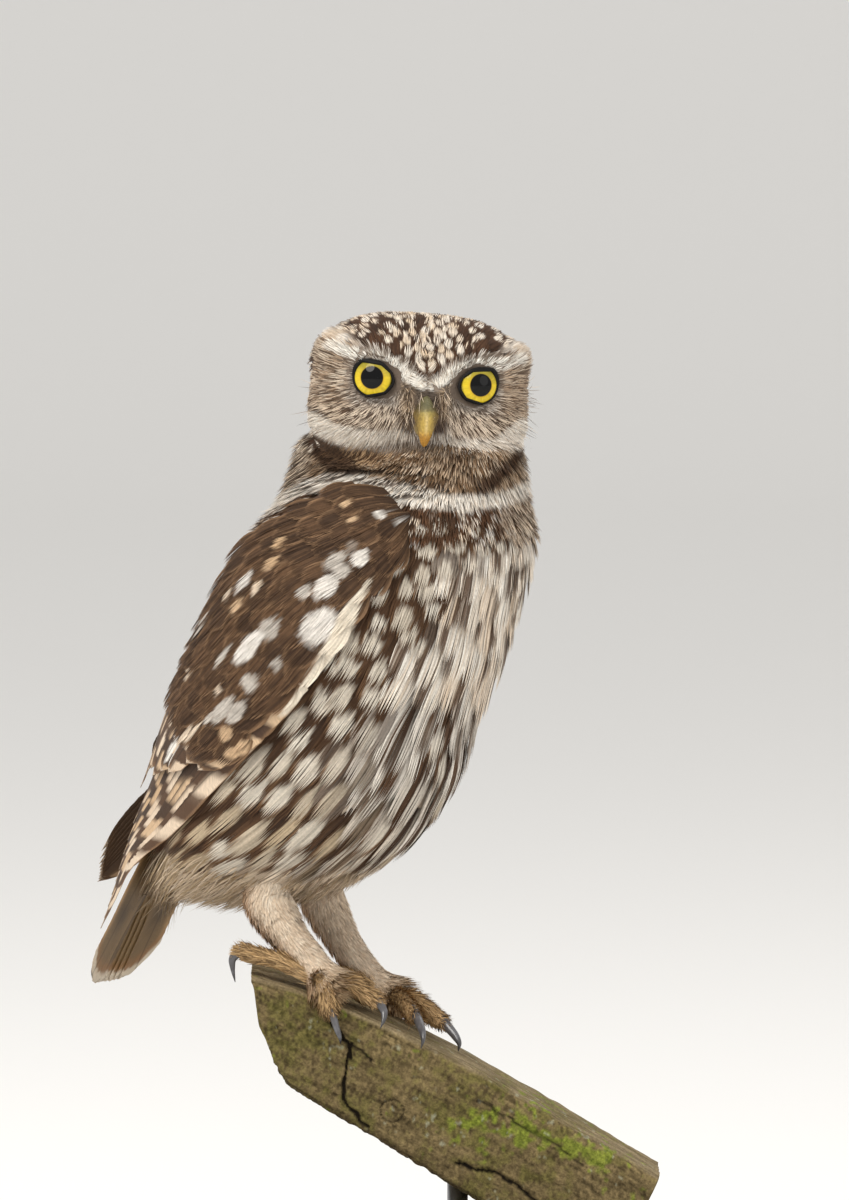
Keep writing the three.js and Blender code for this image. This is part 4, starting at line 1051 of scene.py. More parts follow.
def makeLids(name, side):
    # A rim round the opening: an oval section from the eyeball to the face, swept round
    middle, out, across = eyeFrame(side)
    count, sides = 120, 16
    u, psi = circle(count)[:, None], circle(sides)[None, :, None]
    outwards = -side * across * np.cos(u) + upwards * np.sin(u)
    opening = lidOpening(u)
    corners = nearAngle(u, -0.1, 0.35) + 0.6 * nearAngle(u, 2.75, 0.4)
    wide = 0.5 + 0.45 * corners + 0.55 * np.maximum(np.sin(u), 0) + 0.3 * nearAngle(u, 2.3, 0.55)
    level = np.sqrt(np.maximum(face["eyeRadius"] ** 2 - opening**2, 0.2))
    near = headToOwl(middle + outwards * opening + out * (level + 0.05))
    far = headToOwl(middle + outwards * (opening + wide) + out * level)
    far, normal = dropOn(headHeight, far, np.full(count, -0.35), 3)
    half = (far - near) / 2
    rise = unit(flatten(normal, unit(half)))
    points = ((far + near) / 2)[:, None] + half[:, None] * np.cos(psi) * 1.08
    points = (points + rise[:, None] * np.sin(psi) * 0.5).reshape(-1, 3)
    first = np.arange(sides)
    last, following = first + (count - 1) * sides, np.roll(first, -1)
    closing = stack(last, following + (count - 1) * sides, following, first)
    faces = outward(points - points.mean(axis=0), np.concatenate([gridFaces(count, sides, True), closing]))
    tint = over((10, 9, 9), (30, 27, 26), ramp(0.2, 0.9, np.tile(np.cos(psi).ravel(), count)))
    addPiece(f"{name}Lids", toWorld(points), faces, lidFinish, tint=tint)


bill = {
    "upper": [(16, 0, -4.2), (22.0, 0, -4.0), (25.8, 0, -6.0), (27.5, 0, -9.8), (26.4, 0, -14.9)],
    "lower": [(15, 0, -8), (21, 0, -9.4), (24.4, 0, -12)],
    "sides": 40,
}


def makeBill():
    def upperSizes(t):
        taper = np.sqrt(np.maximum(0, 1 - t**2.6))
        wide = np.interp(t, [0, 0.2, 0.38, 0.52, 0.75, 1], [2.0, 2.1, 3.3, 3.9, 3.1, 2.4])
        return wide * taper + 0.2, (3.5 - 0.9 * t) * taper + 0.2

    def lowerSizes(t):
        return 2.9 * np.sqrt(1 - t**3) + 0.3, 2.2 * np.sqrt(1 - t**3) + 0.3

    rings = tube(bill["upper"], upperSizes, leftwards, bill["sides"], 60)
    middle = rings.mean(axis=1, keepdims=True)
    turn = circle(bill["sides"])
    ridge = 0.16 * np.abs(np.sin(turn)) ** 8 - 0.1 * np.abs(np.sin(2 * turn))
    points, faces = gridMesh(headToOwl(middle + (rings - middle) * (1 + ridge)[None, :, None]))
    local = owlToHead(points)
    aside, drop = np.abs(local[:, 1]), -local[:, 2]
    tint = over((126, 122, 70), (176, 148, 70), ramp(2.5, 8.0, drop), (176, 126, 44), ramp(9.5, 13.0, drop),
                # painted shade: the bill's sides are made darker than its top
                (84, 64, 28), 0.85 * ramp(0.7, 2.9, aside),
                # painted highlight: a pale line down the middle of the ridge
                (214, 192, 140), 0.5 * ramp(0.7, 0.1, aside) * ramp(4, 7, drop) * ramp(12.5, 9.5, drop),
                (66, 60, 52), 0.6 * ramp(5.4, 4.0, drop))
    tint = tint * (1 + 0.16 * wobble(local * [1, 1, 0.3], 0.45, 3) + 0.14 * wobble(local, 1.3, 7))[:, None]
    addPiece("upperBill", toWorld(points), faces, billFinish, ["bill_upper"], np.clip(tint, 0, 1))
    points, faces = gridMesh(headToOwl(tube(bill["lower"], lowerSizes, leftwards, 24, 20)))
    tint = np.broadcast_to(shade((140, 120, 70)), points.shape)
    addPiece("lowerBill", toWorld(points), faces, billFinish, ["bill_lower"], tint)


for name, side in sideOf.items():
    makeEye(name, side)
    makeLids(name, side)
makeBill()

# Wings

wing = {
    "tipFall": {"right": 0.27, "left": 0.13},  # how far back the last primary ends, as a share of the wing
    "pace": 220.0,  # millimetres along the wing for the whole of p
    "ribs": [  # lower edge, middle, upper edge, each as forward, outward and up
        [[36, 34.5, 222], [29, 39.0, 234], [14, 34.0, 245]],
        [[20, 42.5, 197], [0, 45.2, 214], [-18.5, 27.5, 229]],
        [[-4, 44.2, 172], [-27, 40.0, 187], [-43.5, 15, 198]],
        [[-24, 40.0, 157], [-43, 30.5, 170], [-54, 10, 180]],
        [[-43, 32.0, 144], [-54, 24.0, 153], [-61.5, 7, 163]],
        [[-61, 24.5, 133], [-66, 17.0, 138], [-71, 5, 143]],
        [[-72.5, 16.0, 121], [-75.5, 11.0, 123.5], [-78.5, 4, 127]],
        [[-82.5, 11.0, 108], [-83.5, 7.5, 110], [-84.5, 4, 113]],
    ],
    "leftTipShift": [  # the left wing is folded tighter, so its tip sits higher
        [0, 0, 0], [0, 0, 0], [0, 0, 0], [-4, 0, 2.5], [-10.5, 0.5, 5], [-13, 1, 7], [-15, 0, 6],
        [-11.5, 0, 15]],
    "narrowest": 8.0,  # the width, in millimetres, below which a feather's own width no longer grows in q
    "marks": [  # place along and across, half length and half width in millimetres, tone
        (0.100, 0.73, 2.3, 1.4, "buff"), (0.121, 0.64, 2.5, 1.6, "buff"), (0.161, 0.67, 3.9, 1.9, "white"),
        (0.153, 0.57, 2.0, 1.6, "cream"), (0.189, 0.71, 2.5, 1.2, "cream"), (0.184, 0.59, 2.7, 1.6, "buff"),
        (0.058, 0.39, 3.5, 2.3, "ash"), (0.034, 0.30, 2.8, 2.2, "white"), (0.032, 0.41, 1.8, 1.4, "grey"),
        (0.061, 0.30, 2.4, 1.9, "ash"), (0.087, 0.29, 4.2, 2.8, "white"), (0.111, 0.35, 2.3, 1.8, "ash"),
        (0.129, 0.155, 6.0, 4.3, "white"), (0.171, 0.335, 3.2, 3.0, "ash"), (0.203, 0.355, 6.6, 2.7, "white"),
        (0.234, 0.22, 2.7, 2.8, "ash"), (0.197, 0.18, 1.9, 1.7, "ash"), (0.242, 0.80, 5.0, 1.1, "ash"),
        (0.234, 0.445, 4.4, 1.0, "ash"), (0.295, 0.62, 2.0, 1.1, "cream"), (0.292, 0.92, 2.6, 0.9, "cream"),
        (0.284, 0.24, 5.2, 2.1, "ash"), (0.274, 0.175, 4.2, 2.2, "ash"), (0.313, 0.27, 3.0, 0.9, "ash"),
        (0.268, 0.33, 1.5, 1.2, "cream"), (0.313, 0.14, 2.4, 2.1, "buff"), (0.337, 0.045, 2.4, 1.8, "buff"),
        (0.318, 0.03, 2.6, 1.9, "buff"), (0.432, 0.39, 5.5, 1.5, "white"), (0.376, 0.335, 4.5, 0.9, "cream"),
        (0.361, 0.30, 4.5, 0.8, "cream"), (0.447, 0.56, 3.5, 1.0, "cream"), (0.005, 0.75, 1.8, 1.1, "buff"),
        (0.012, 0.60, 1.5, 0.9, "buff"), (-0.02, 0.52, 2.0, 1.4, "white"), (-0.035, 0.38, 2.2, 1.6, "white"),
    ],
    "edge": [  # the white lower edge: place along, place across, half width
        (0.045, 0.12, 0.7), (0.075, 0.10, 1.5), (0.1, 0.07, 2.3), (0.13, 0.03, 2.7), (0.165, 0.015, 2.5),
        (0.205, 0.0, 1.9), (0.24, 0.0, 1.0)],
}


class WingSurface:
    # A folded wing: p from the wrist to the tip along curves through the ribs, q across from the lower edge
    # to the upper edge by a parabola through the three curves. Ahead of the wrist the form bends in towards
    # the breast.
    def __init__(self, name):
        ribs = np.array(wing["ribs"], float)
        if name == "left":
            ribs = ribs + np.array(wing["leftTipShift"], float)[:, None, :]
        self.side = sideOf[name]
        ribs[..., 1] *= self.side
        self.edges = [ribs[:, k] for k in range(3)]

    def point(self, p, q):
        low, middle, high = (curveThrough(edge, p) for edge in self.edges)
        q = np.asarray(q)[..., None]
        return low * (1 - q) * (1 - 2 * q) + middle * 4 * q * (1 - q) + high * q * (2 * q - 1)

    def frame(self, p, q):
        # The direction out, the direction along, and the millimetres in a whole q and a whole p
        step = 0.01
        inside = np.clip(p, step, 1 - step)
        along = self.point(inside + step, q) - self.point(inside - step, q)
        across = self.point(inside, q + step) - self.point(inside, q - step)
        width, pace = (np.linalg.norm(span, axis=-1) / (2 * step) for span in (across, along))
        return unit(np.cross(along, across) * self.side), unit(along), width, pace

    def raised(self, p, q, height):
        normal, run = self.frame(p, q)[:2]
        ahead = np.minimum(p, 0)[..., None] * wing["pace"]
        bend = run * ahead - normal * 0.085 * ahead**2
        return self.point(np.maximum(p, 0), q) + bend + normal * np.asarray(height)[..., None]


def layVanes(name, vanes, grid, placeAt, paint, replaced=()):
    # Thin closed blades. placeAt(feather, s, t, lift) gives a point of a feather s along and t across it.
    draw = np.random.default_rng(grid["seed"])
    rows, columns = grid["rows"], grid["columns"]
    shape = (len(vanes["width"]), rows, columns)
    s = (1 - (1 - np.linspace(0, 1, rows)) ** 1.7)[None, :, None]
    t = np.sin(np.linspace(-np.pi / 2, np.pi / 2, columns))[None, None, :]
    t = 0.55 * t + 0.45 * np.linspace(-1, 1, columns)
    ragged = grid["fray"] * draw.uniform(-1, 1, shape) * ramp(0.3, 1, np.maximum(np.abs(t), s))
    thickness = grid["thickness"] * (1 - 0.6 * np.abs(t) - 0.2 * s)
    points, tints = [], []
    for lower in (False, True):
        points.append(placeAt(vanes, s + ragged * 0.03, t * (1 + ragged * 0.1), -lower * thickness))
        tints.append(np.broadcast_to(paint(s, t, vanes, draw, lower), (*shape, 3)))
    points, tints = (np.stack(values, axis=1).reshape(shape[0], -1, 3) for values in (points, tints))
    under, size = rows * columns, points.shape[1]
    face = gridFaces(rows, columns, False)
    i, j = np.arange(rows), np.arange(columns)
    rim = np.concatenate([j[:-1], i[:-1] * columns + columns - 1,
                          (rows - 1) * columns + j[:0:-1], i[:0:-1] * columns])
    following = np.roll(rim, -1)
    edges = stack(rim, rim + under, following + under, following)
    faces = np.concatenate([face, (face + under)[:, ::-1], edges])
    faces = outward(points[0] - points[0].mean(axis=0), faces) + size * np.arange(shape[0])[:, None, None]
    local = stack(t, s * (vanes["length"] / 10))
    local = np.stack([local, local], axis=1).reshape(-1, 2)
    where = (local * [0.5, 0.1] % 1) * bodyCoat["patch"] + np.repeat(vanes["map"], size, axis=0)
    addPiece(name, toWorld(points.reshape(-1, 3)), faces.reshape(-1, 4), vaneFinish, replaced,
             tints.reshape(-1, 3), {"OFBake": where, "vane": local})


def marked(surface, p, q, base, chance, wander=0.0):
    # Lays the wing's pale marks over a colour, where they fall at places on the wing
    here = surface.raised(p, q, 0.0)
    shares = {}
    for markP, markQ, halfLong, halfWide, name in wing["marks"]:
        away = here - surface.raised(markP, markQ, 0.0)
        along = dot(away, surface.frame(markP, markQ)[1])
        across = np.sqrt(np.maximum(dot(away, away) - along**2, 0))
        taper = 1 - 0.3 * np.clip(-along / halfLong, 0, 1)
        share = ramp(1.15, 0.92, np.hypot(along / halfLong, across / (halfWide * taper)) + 0.1 * wander)
        shares[name] = np.maximum(shares.get(name, 0.0), share)
    line = np.array(wing["edge"])
    steps = np.linspace(0, len(line) - 1, 5 * len(line) - 4)
    edge = 0.0
    for markP, markQ, half in zip(*(np.interp(steps, np.arange(len(line)), column) for column in line.T)):
        away = np.linalg.norm(here - surface.raised(markP, markQ, 0.0), axis=-1)
        edge = np.maximum(edge, ramp(half + 0.5, half - 0.4, away + 0.4 * wander))
    for name, share in {**shares, "edge": edge}.items():
        base = over(base, over(name, "ash", 0.15 * chance), 0.95 * share)
    return base


def flightPaint(surface):
    def paint(s, t, vanes, draw, lower):
        # Dark brown vanes with long pale blocks down the open edge, and a paler rim and tip
        chance = draw.uniform(0, 1, vanes["width"].shape)
        beat = np.abs(((s * vanes["length"] + 11 * vanes["phase"]) / vanes["beat"]) % 1 - 0.5) * 2
        block = ramp(0.42, 0.54, beat) * ramp(-0.1, 0.15, -t) * ramp(1.0, 0.93, -t) * ramp(1.0, 0.93, s)
        result = over(over((62, 44, 31), (92, 66, 46), 0.7 * chance),
                      "tan", 0.5 * ramp(0.8, 0.97, np.maximum(-t, s**2)), "umber", 0.5 * ramp(0.25, 0.75, t),
                      over("buff", "cream", chance), 0.85 * block,
                      "cream", 0.7 * ramp(0.955, 0.98, s * (1 - 0.03 * t**2)))
        p = mix(vanes["rootP"], vanes["tipP"], s)
        q = mix(vanes["rootQ"], vanes["tipQ"], s)
        q = q + t * vanes["width"] / np.maximum(surface.frame(p, q)[2], wing["narrowest"])
        result = marked(surface, np.broadcast_to(p, q.shape), q, result, chance)
        return over(result, (92, 72, 54), 0.5) if lower else result

    return paint


def coverPaint(surface):
    def paint(s, t, middle, roots, draw):
        # Soft brown coverts with a paler rim; the marks lie where they fall on the whole wing
        chance, strand = chances(draw, t, 1, -1)
        base = over(over((60, 42, 28), (108, 80, 56), np.clip(0.1 + 0.55 * chance + 0.35 * strand, 0, 1)),
                    (160, 126, 94), 0.55 * ramp(0.72, 1.0, np.hypot(t, np.clip((s - 0.72) / 0.28, 0, 2))),
                    (46, 32, 22), 0.55 * ramp(0.45, 0.1, np.hypot(t, (s - 0.85) / 0.2)))
        return marked(surface, *roots["places"], base, chance, strand)

    return paint


def overWing(surface):
    def lay(roots, along, aside, wanted):
        p = roots["p"] + along * roots["perAlong"]
        q = roots["q"] + aside * roots["perAcross"] + along * roots["slant"] * roots["perAcross"]
        roots["places"] = (p, q)
        return surface.raised(p, q, wanted), surface.frame(p, q)[0]

    return lay


def wingRoots(surface, low, high, spacing, across, seed):
    # Rows of roots down the wing, each row shifted by half a step
    draw = np.random.default_rng(seed)
    found = []
    for number, p in enumerate(np.arange(low, high, spacing / wing["pace"])):
        width = surface.frame(np.full(9, max(p, 0)), np.linspace(0, 1, 9))[2].mean()
        count = max(3, round(width * 0.88 / across))
        q = 0.09 + (np.arange(count) + 0.5 * (number % 2)) / count * 0.88 + draw.normal(0, 0.1 / count, count)
        found.append(stack(p + draw.normal(0, 0.12, count) * spacing / wing["pace"], q))
    p, q = np.concatenate(found).T
    normal, run, width, pace = surface.frame(p, q)
    return {"p": p, "q": q, "perAlong": 1 / pace, "perAcross": 1 / np.maximum(width, 12),
            "slant": draw.normal(0, 0.06, len(p)), "at": surface.raised(p, q, 0.0), "normal": normal,
            "lie": run, "map": mapPlace(np.clip(p + 0.1, 0, 1), np.clip(q + 0.05, 0, 1.1), 0.9, 0.85)}


def onWing(surface):
    def placeAt(vanes, s, t, lift):
        # The feather's middle line runs from its root to its tip over the wing; t shifts a point across it.
        # A feather is widest in its middle and round at its tip.
        p = mix(vanes["rootP"], vanes["tipP"], s * (1 - 0.05 * t * t))
        q = mix(vanes["rootQ"], vanes["tipQ"], s) + vanes["bow"] * np.sin(np.pi * s)
        outline = mix(0.8, 1, np.sin(np.pi * np.minimum(1, 1.2 * s)))
        outline = outline * np.sqrt(np.maximum(0, 1 - s ** vanes["power"]))
        shift = t * vanes["width"] * outline / np.maximum(surface.frame(p, q)[2], wing["narrowest"])
        return surface.raised(p, q + shift, mix(vanes["low"], vanes["high"], s) - vanes["cup"] * t * t + lift)

    return placeAt


def wingVanes(**columns):
    # A table of feathers: each column broadcast to one value for each feather
    columns = {**dict(bow=0.0, cup=0.35, phase=0.0, beat=12.0, low=0.0, high=0.0, power=14.0), **columns}
    count = max(np.size(value) for value in columns.values())
    table = {key: np.broadcast_to(value, (count,))[:, None, None] for key, value in columns.items()}
    rootP, rootQ = (np.clip(table[key], 0, 1).ravel() for key in ("rootP", "rootQ"))
    table["map"] = mapPlace(rootP, rootQ, 0.9, 0.9)
    return table


def dressWing(name):
    surface = WingSurface(name)
    draw = np.random.default_rng(31)

    def panelPlace(vanes, s, t, lift):
        # A thin closed panel under the coverts, in their colours
        p = np.broadcast_to(mix(vanes["rootP"], 0.44, s), lift.shape)
        return surface.raised(p, 0.5 + 0.5 * t * (1 - 0.5 * ramp(0.85, 1, s)), 0.2 - 1.2 * t**4 + 2 * lift)

    def panelPaint(s, t, vanes, draw, lower):
        p, q = np.broadcast_arrays(mix(vanes["rootP"], 0.44, s), 0.5 + 0.5 * t)
        return marked(surface, p, q, shade((78, 55, 38)), 0.0)

    panel = wingVanes(rootP=-0.02, rootQ=0.5, width=1.0, length=100.0)
    grid = {"rows": 70, "columns": 41, "thickness": 0.5, "fray": 0.0, "seed": 40}
    layVanes(f"{name}WingPanel", panel, grid, panelPlace, panelPaint)
    roots = wingRoots(surface, -0.04, 0.335, 5.2, 5.8, 45)
    roots["length"] = np.interp(roots["p"], [-0.05, 0.05, 0.3], [11.0, 13.0, 17.0])
    roots["width"] = np.interp(roots["p"], [-0.05, 0.3], [8.0, 9.5])
    roots["lift"] = np.interp(roots["p"], [-0.06, 0.02, 0.3], [1.0, 0.6, 0.2])
    coat = dict(seed=46, strands=30, stations=[0, 0.3, 0.5, 0.66, 0.8, 0.91, 1.0], fray=0.07, round=0.2,
                rootWidth=0.5, close=0.08, stray=0.025, loose=0.1, low=0.2, high=2.2, cup=0.8,
                strandWidth=0.58, streak=0.08, rootShade=0.55)
    growCoat(f"{name}Coverts", roots, coat, coverPaint(surface), overWing(surface),
             [f"wing_{name}_coverts"])
    share = np.linspace(0, 1, 9)
    secondaries = wingVanes(rootP=0.2 + 0.12 * share, rootQ=0.08 + 0.84 * share, tipQ=0.12 + 0.74 * share,
                            tipP=0.4 + 0.2 * share**0.8 + draw.uniform(-0.018, 0.018, 9),
                            width=6.6 - 1.0 * share, length=44.0, high=1.1 + 0.6 * share,
                            phase=draw.uniform(0, 1, 9), beat=13.0)
    primaries = wingVanes(rootP=0.3, rootQ=0.06 + 0.42 * share, tipQ=0.3 + 0.45 * share, width=5.2,
                          length=84.0, tipP=0.955 - wing["tipFall"][name] * share**1.1, low=-0.9,
                          high=-1.2 + 1.3 * share, bow=-0.07, power=4.0, phase=draw.uniform(0, 1, 9),
                          beat=18.0)
    grids = {
        "Secondaries": (secondaries, {"rows": 34, "columns": 15, "thickness": 0.3, "fray": 0.4, "seed": 42}),
        "Primaries": (primaries, {"rows": 48, "columns": 13, "thickness": 0.3, "fray": 0.3, "seed": 43}),
    }
    for row, (vanes, grid) in grids.items():
        layVanes(f"{name}{row}", vanes, grid, onWing(surface), flightPaint(surface),
                 [f"wing_{name}_{row.lower()}"])


for name in sideOf:
    dressWing(name)

# Tail

tail = {
    "root": np.array([-45.0, 0, 168.0]),
    "tip": np.array([-85.0, 0, 96.5]),
    "feathers": 12,
    "halfWidth": 19.5,
    "vane": 7.4,
}


def dressTail():
    down = tail["tip"] - tail["root"]
    length = np.linalg.norm(down)
    down = down / length
    out = np.array([down[2], 0, -down[0]])
    count, vane = tail["feathers"], tail["vane"]
    rank = np.repeat(np.arange(count // 2), 2)
    share = (rank + 0.5) / (count // 2 - 0.5) * np.tile([1, -1], count // 2)
    vanes = {"share": share, "rank": rank, "width": np.full(count, vane), "length": np.full(count, length)}
    vanes = {key: values[:, None, None] for key, values in vanes.items()}
    vanes["map"] = stack(0.1 + 0.06 * np.arange(count), 0.95)

    def placeAt(vanes, s, t, lift):
        # Feathers side by side down the tail, the outer ones lower, all their tips on one arc
        offset = vanes["share"] * (tail["halfWidth"] - vane)
        across = offset * (0.72 + 0.28 * s) + t * vane * (0.8 + 0.2 * np.sin(np.pi * np.minimum(1, 1.2 * s)))
        reach = 1 - 0.15 * np.abs((offset + t * vane) / tail["halfWidth"]) ** 2.2 - 0.012 * np.abs(t) ** 3
        height = -0.34 * vanes["rank"] + 0.2 - 0.1 * t * t - 0.004 * across**2 + lift
        along = (length * reach * s)[..., None] * down
        return tail["root"] + along + out * height[..., None] + across[..., None] * leftwards

    def paint(s, t, vanes, draw, lower):
        # Brown with narrow buff bars that don't quite reach the shaft above, plain olive brown with a dark
        # smudge below, and a pale tip
        chance = draw.uniform(0, 1, (count, 1, 1))
        tip = ramp(0.955, 0.975, s)
        if lower:
            smudge = np.exp(-((s - 0.74) / 0.07) ** 2) * ramp(0.9, 0.2, np.abs(t))
            outer = (vanes["rank"] == vanes["rank"].max()) * t * np.sign(vanes["share"])
            return over((134, 108, 72), (104, 82, 54), chance, (52, 39, 24), 0.6 * smudge,
                        (196, 158, 112), 0.7 * ramp(0.55, 0.95, outer),
                        (150, 108, 66), 0.75 * ramp(0.90, 0.955, s), (226, 212, 190), 0.9 * tip)
        bar = ramp(0.55, 0.8, np.abs(((s * 5.2 + 0.35) % 1) - 0.5) * 2) * ramp(0.1, 0.35, np.abs(t))
        return over("brown", "buff", 0.75 * bar, "cream", 0.8 * tip)

    layVanes("tailFeathers", vanes, {"rows": 40, "columns": 13, "thickness": 0.35, "fray": 0.3, "seed": 51},
             placeAt, paint, ["tail"])


dressTail()

# Leg feathers, toes and claws

feet = {
    "radius": 3.05,
    "right": {
        "ball": [-16.5, -14, 100.4],
        "toes": [  # hind, outer, middle, inner: middle joint, last joint, claw tip, over the stand
            [[-27, -13.5, 105.6], [-37.2, -13, 108.2], [-40.4, -13.6, 100]],
            [[-15.4, -18.6, 100.4], [-13.4, -20.9, 93.8], [-9.8, -22.6, 82.6]],
            [[-8.4, -15.2, 100.2], [-1.2, -14.6, 95.6], [1.7, -18.7, 87]],
            [[-9.5, -9, 99.4], [-2.6, -5.6, 95], [3.2, -4.6, 91]],
        ],
    },
    "left": {
        "ball": [4.2, 11.5, 93.8],
        "toes": [
            [[-4.5, 12.4, 98], [-11.5, 12.8, 100], [-17.4, 13, 98.9]],
            [[9, 15, 92.6], [14.4, 16.4, 88.6], [18.6, 19, 83]],
            [[12, 7.4, 92.6], [18.2, 3.4, 87.6], [24.2, -2, 79]],
            [[7.6, 1.6, 93.8], [11.4, -8.4, 89.6], [13.4, -18.4, 81]],
        ],
    },
}


def tubeRoots(rings, along, around, draw):
    # Roots over a tube's rings, with the lie down the tube
    rows, columns = rings.shape[:2]
    i = np.linspace(0, rows - 1.001, along)[:, None] + draw.uniform(-0.4, 0.4, (along, around))
    j = (np.arange(around) + 0.5 * (np.arange(along)[:, None] % 2)) / around * columns
    j = ((j + draw.uniform(-0.3, 0.3, j.shape)) % columns).ravel()
    i = np.clip(i, 0, rows - 1.001).ravel()
    i0, j0 = i.astype(int), j.astype(int)
    a, b = (i - i0)[:, None], (j - j0)[:, None]
    j1 = (j0 + 1) % columns
    at = mix(mix(rings[i0, j0], rings[i0 + 1, j0], a), mix(rings[i0, j1], rings[i0 + 1, j1], a), b)
    middle = rings.mean(axis=1)
    lie = unit(middle[i0 + 1] - middle[i0])
    normal = unit(flatten(at - mix(middle[i0], middle[i0 + 1], a), lie))
    return {"at": at, "normal": normal, "lie": lie, "share": i / (rows - 1),
            "map": mapPlace(j / columns, i / rows)}


def paintLeg(s, t, middle, roots, draw):
    # Short buff-white feathers, tan down the back of the leg and about the foot
    chance, strand = chances(draw, t, 1)
    behind = ramp(0.0, 0.8, -roots["normal"][..., 0] - 0.25 * roots["normal"][..., 2])
    return over(over("cream", (232, 219, 200), chance), (190, 162, 130), 0.5 * strand,
                (168, 124, 82), 0.75 * behind,
                over((208, 180, 140), (150, 118, 80), strand), 0.8 * ramp(0.76, 1.0, roots["share"]),
                "tan", 0.5 * ramp(0.93, 0.97, chance))


def paintToe(s, t, middle, roots, draw):
    chance, strand = chances(draw, t, 1)
    return over((146, 113, 72), (206, 174, 128), 0.5 * chance + 0.5 * strand,
                (88, 66, 42), 0.8 * ramp(0.66, 0.84, draw.permutation(strand)),
                over((214, 190, 152), (176, 144, 102), strand), 0.75 * ramp(0.4, 0.05, roots["share"]))


def toeSizes(t):
    swell = 0.32 * np.exp(-(((t - 0.93) / 0.12) ** 2)) + 0.16 * np.exp(-(((t - 0.42) / 0.14) ** 2))
    return feet["radius"] - 0.75 + swell, feet["radius"] - 0.75 + swell


def clawSizes(t):
    return 1.2 * (1 - t**1.7) + 0.1, 1.5 * (1 - t**1.7) + 0.12


def makeClaw(name, first, last, tip):
    # A hook from inside the toe's end over to its tip
    run, span = unit(last - first), tip - last
    bow = run * 0.44 * np.linalg.norm(span)
    root = last - 1.5 * run + 1.3 * upwards
    knots = [root, root + 0.14 * span + 0.72 * bow, root + 0.42 * span + 1.06 * bow,
             root + 0.74 * span + 0.8 * bow, tip]
    sides = 20
    claw = tube(knots, clawSizes, unit(np.cross(span, run)), sides, 40)
    points, faces = gridMesh(claw)
    share = np.repeat(np.linspace(0, 1, len(claw)), sides)
    tint = over((84, 82, 84), (30, 29, 32), ramp(0.25, 0.95, share),
                # painted sheen: lighter patches spread by noise over the horn
                (112, 114, 120), 0.35 * ramp(0.1, 0.7, wobble(points, 1.2, 9)))
    addPiece(name.replace("_", "Claw"), toWorld(points), faces, clawFinish, [f"claw_{name}"], tint)


def makeFoot(name, side):
    draw = np.random.default_rng(81)
    roots = tubeRoots(legTube(name, 0.0, 28, 44), 44, 26, draw)
    roots = pickRoots(roots, trunkHeight(roots["at"]) > -2.5)
    share = roots["share"]
    roots["lie"] = unit(roots["lie"] + 0.8 * ramp(0.72, 0.94, share)[:, None] * roots["normal"])
    roots["normal"] = unit(flatten(roots["normal"], roots["lie"]))
    roots["length"] = 4.6 + 4.0 * ramp(0.74, 0.9, share)
    roots["width"] = np.full(len(share), 2.8)
    coat = dict(seed=82 + side, strands=7, stations=[0, 0.35, 0.7, 1.0], fray=0.3, rootWidth=0.4, stray=0.1,
                loose=0.12, low=-0.7, high=0.35, rise=1.1, cup=0.2, strandWidth=0.42, streak=0.07,
                rootShade=0.72)
    growCoat(f"{name}LegFeathers", roots, coat, paintLeg, straight)
    ball = fromStand(feet[name]["ball"])
    points, faces, bristles = [], [], []
    for number, joints in enumerate(feet[name]["toes"]):
        first, last, tip = (fromStand(point) for point in joints)
        rings = tube([ball, first, last], toeSizes, unit(np.cross(last - ball, upwards)), 20, 26)
        toePoints, toeFaces = gridMesh(rings)
        faces.append(toeFaces + sum(map(len, points)))
        points.append(toePoints)
        grown = tubeRoots(rings, 22, 16, draw)
        bristles.append(pickRoots(grown, grown["share"] > 0.1))
        makeClaw(f"{name}_{number + 1}", first, last, tip)
    points = np.concatenate(points)
    tint = over((118, 92, 60), (170, 138, 94), 0.5 + 0.5 * wobble(points, 0.9, 4))
    addPiece(f"{name}Toes", toWorld(points), np.concatenate(faces), toeFinish, [f"foot_{name}"], tint)
    grown = joinRoots(bristles)
    grown = pickRoots(grown, grown["normal"][:, 2] > -0.55)
    count = len(grown["at"])
    grown["length"] = draw.uniform(3.0, 5.6, count) * np.interp(grown["share"], [0, 0.8, 1], [1, 0.9, 0.55])
    grown["width"] = np.full(count, 2.0)
    coat = dict(seed=92 + side, strands=5, stations=[0, 0.4, 0.75, 1.0], fray=0.35, rootWidth=0.35, stray=0.4,
                loose=0.45, low=-0.2, high=0.8, cup=0.1, strandWidth=0.3, streak=0.16,
                rootShade=0.8, relief=0.35)
    growCoat(f"{name}ToeBristles", grown, coat, paintToe, straight)


for name, side in sideOf.items():
    makeFoot(name, side)

# Perch

perch = {
    "top": [(-35.5, 0, 103.8), (-11, 0, 95.5), (36, 0, 72.7), (83, 0, 45)],  # over the stand
    "under": [(-33, 0, 84), (-28, 0, 72), (-18.9, 0, 65), (4.4, 0, 51), (27.6, 0, 36.5), (67.5, 0, 13.5)],
    "depth": 35.0,
    "power": 0.22,  # how square the section is
    "tilt": 4.0,
    "axis": 85.0,
    "rows": 330,
    "columns": 220,
    "knot": (4.9, 62.6, 3.4),  # X, Z and radius
    "cracks": [  # X and Z along each crack on the side, its depth
        ([(-13, 88.5), (-7.5, 82), (-6.5, 78)], 1.5),
        ([(-7.5, 82), (-0.5, 77.5)], 0.8),
        ([(-6.5, 82), (-8.5, 73), (-8.8, 66), (-4.5, 59.5), (-2, 58)], 1.2),
        ([(24, 47), (36, 44), (52, 33), (66, 22)], 1.3),
        ([(30, 66), (46, 56), (60, 47)], 0.7),
    ],
    "ends": np.array([0.97, 0.8, 0.55, 0.3, 0.1, 0.004]),  # the rings that close the two ends, as shares
}


def squared(wave):
    # A sine or cosine pushed out towards 1 and -1
    return np.sign(wave) * np.abs(wave) ** perch["power"]


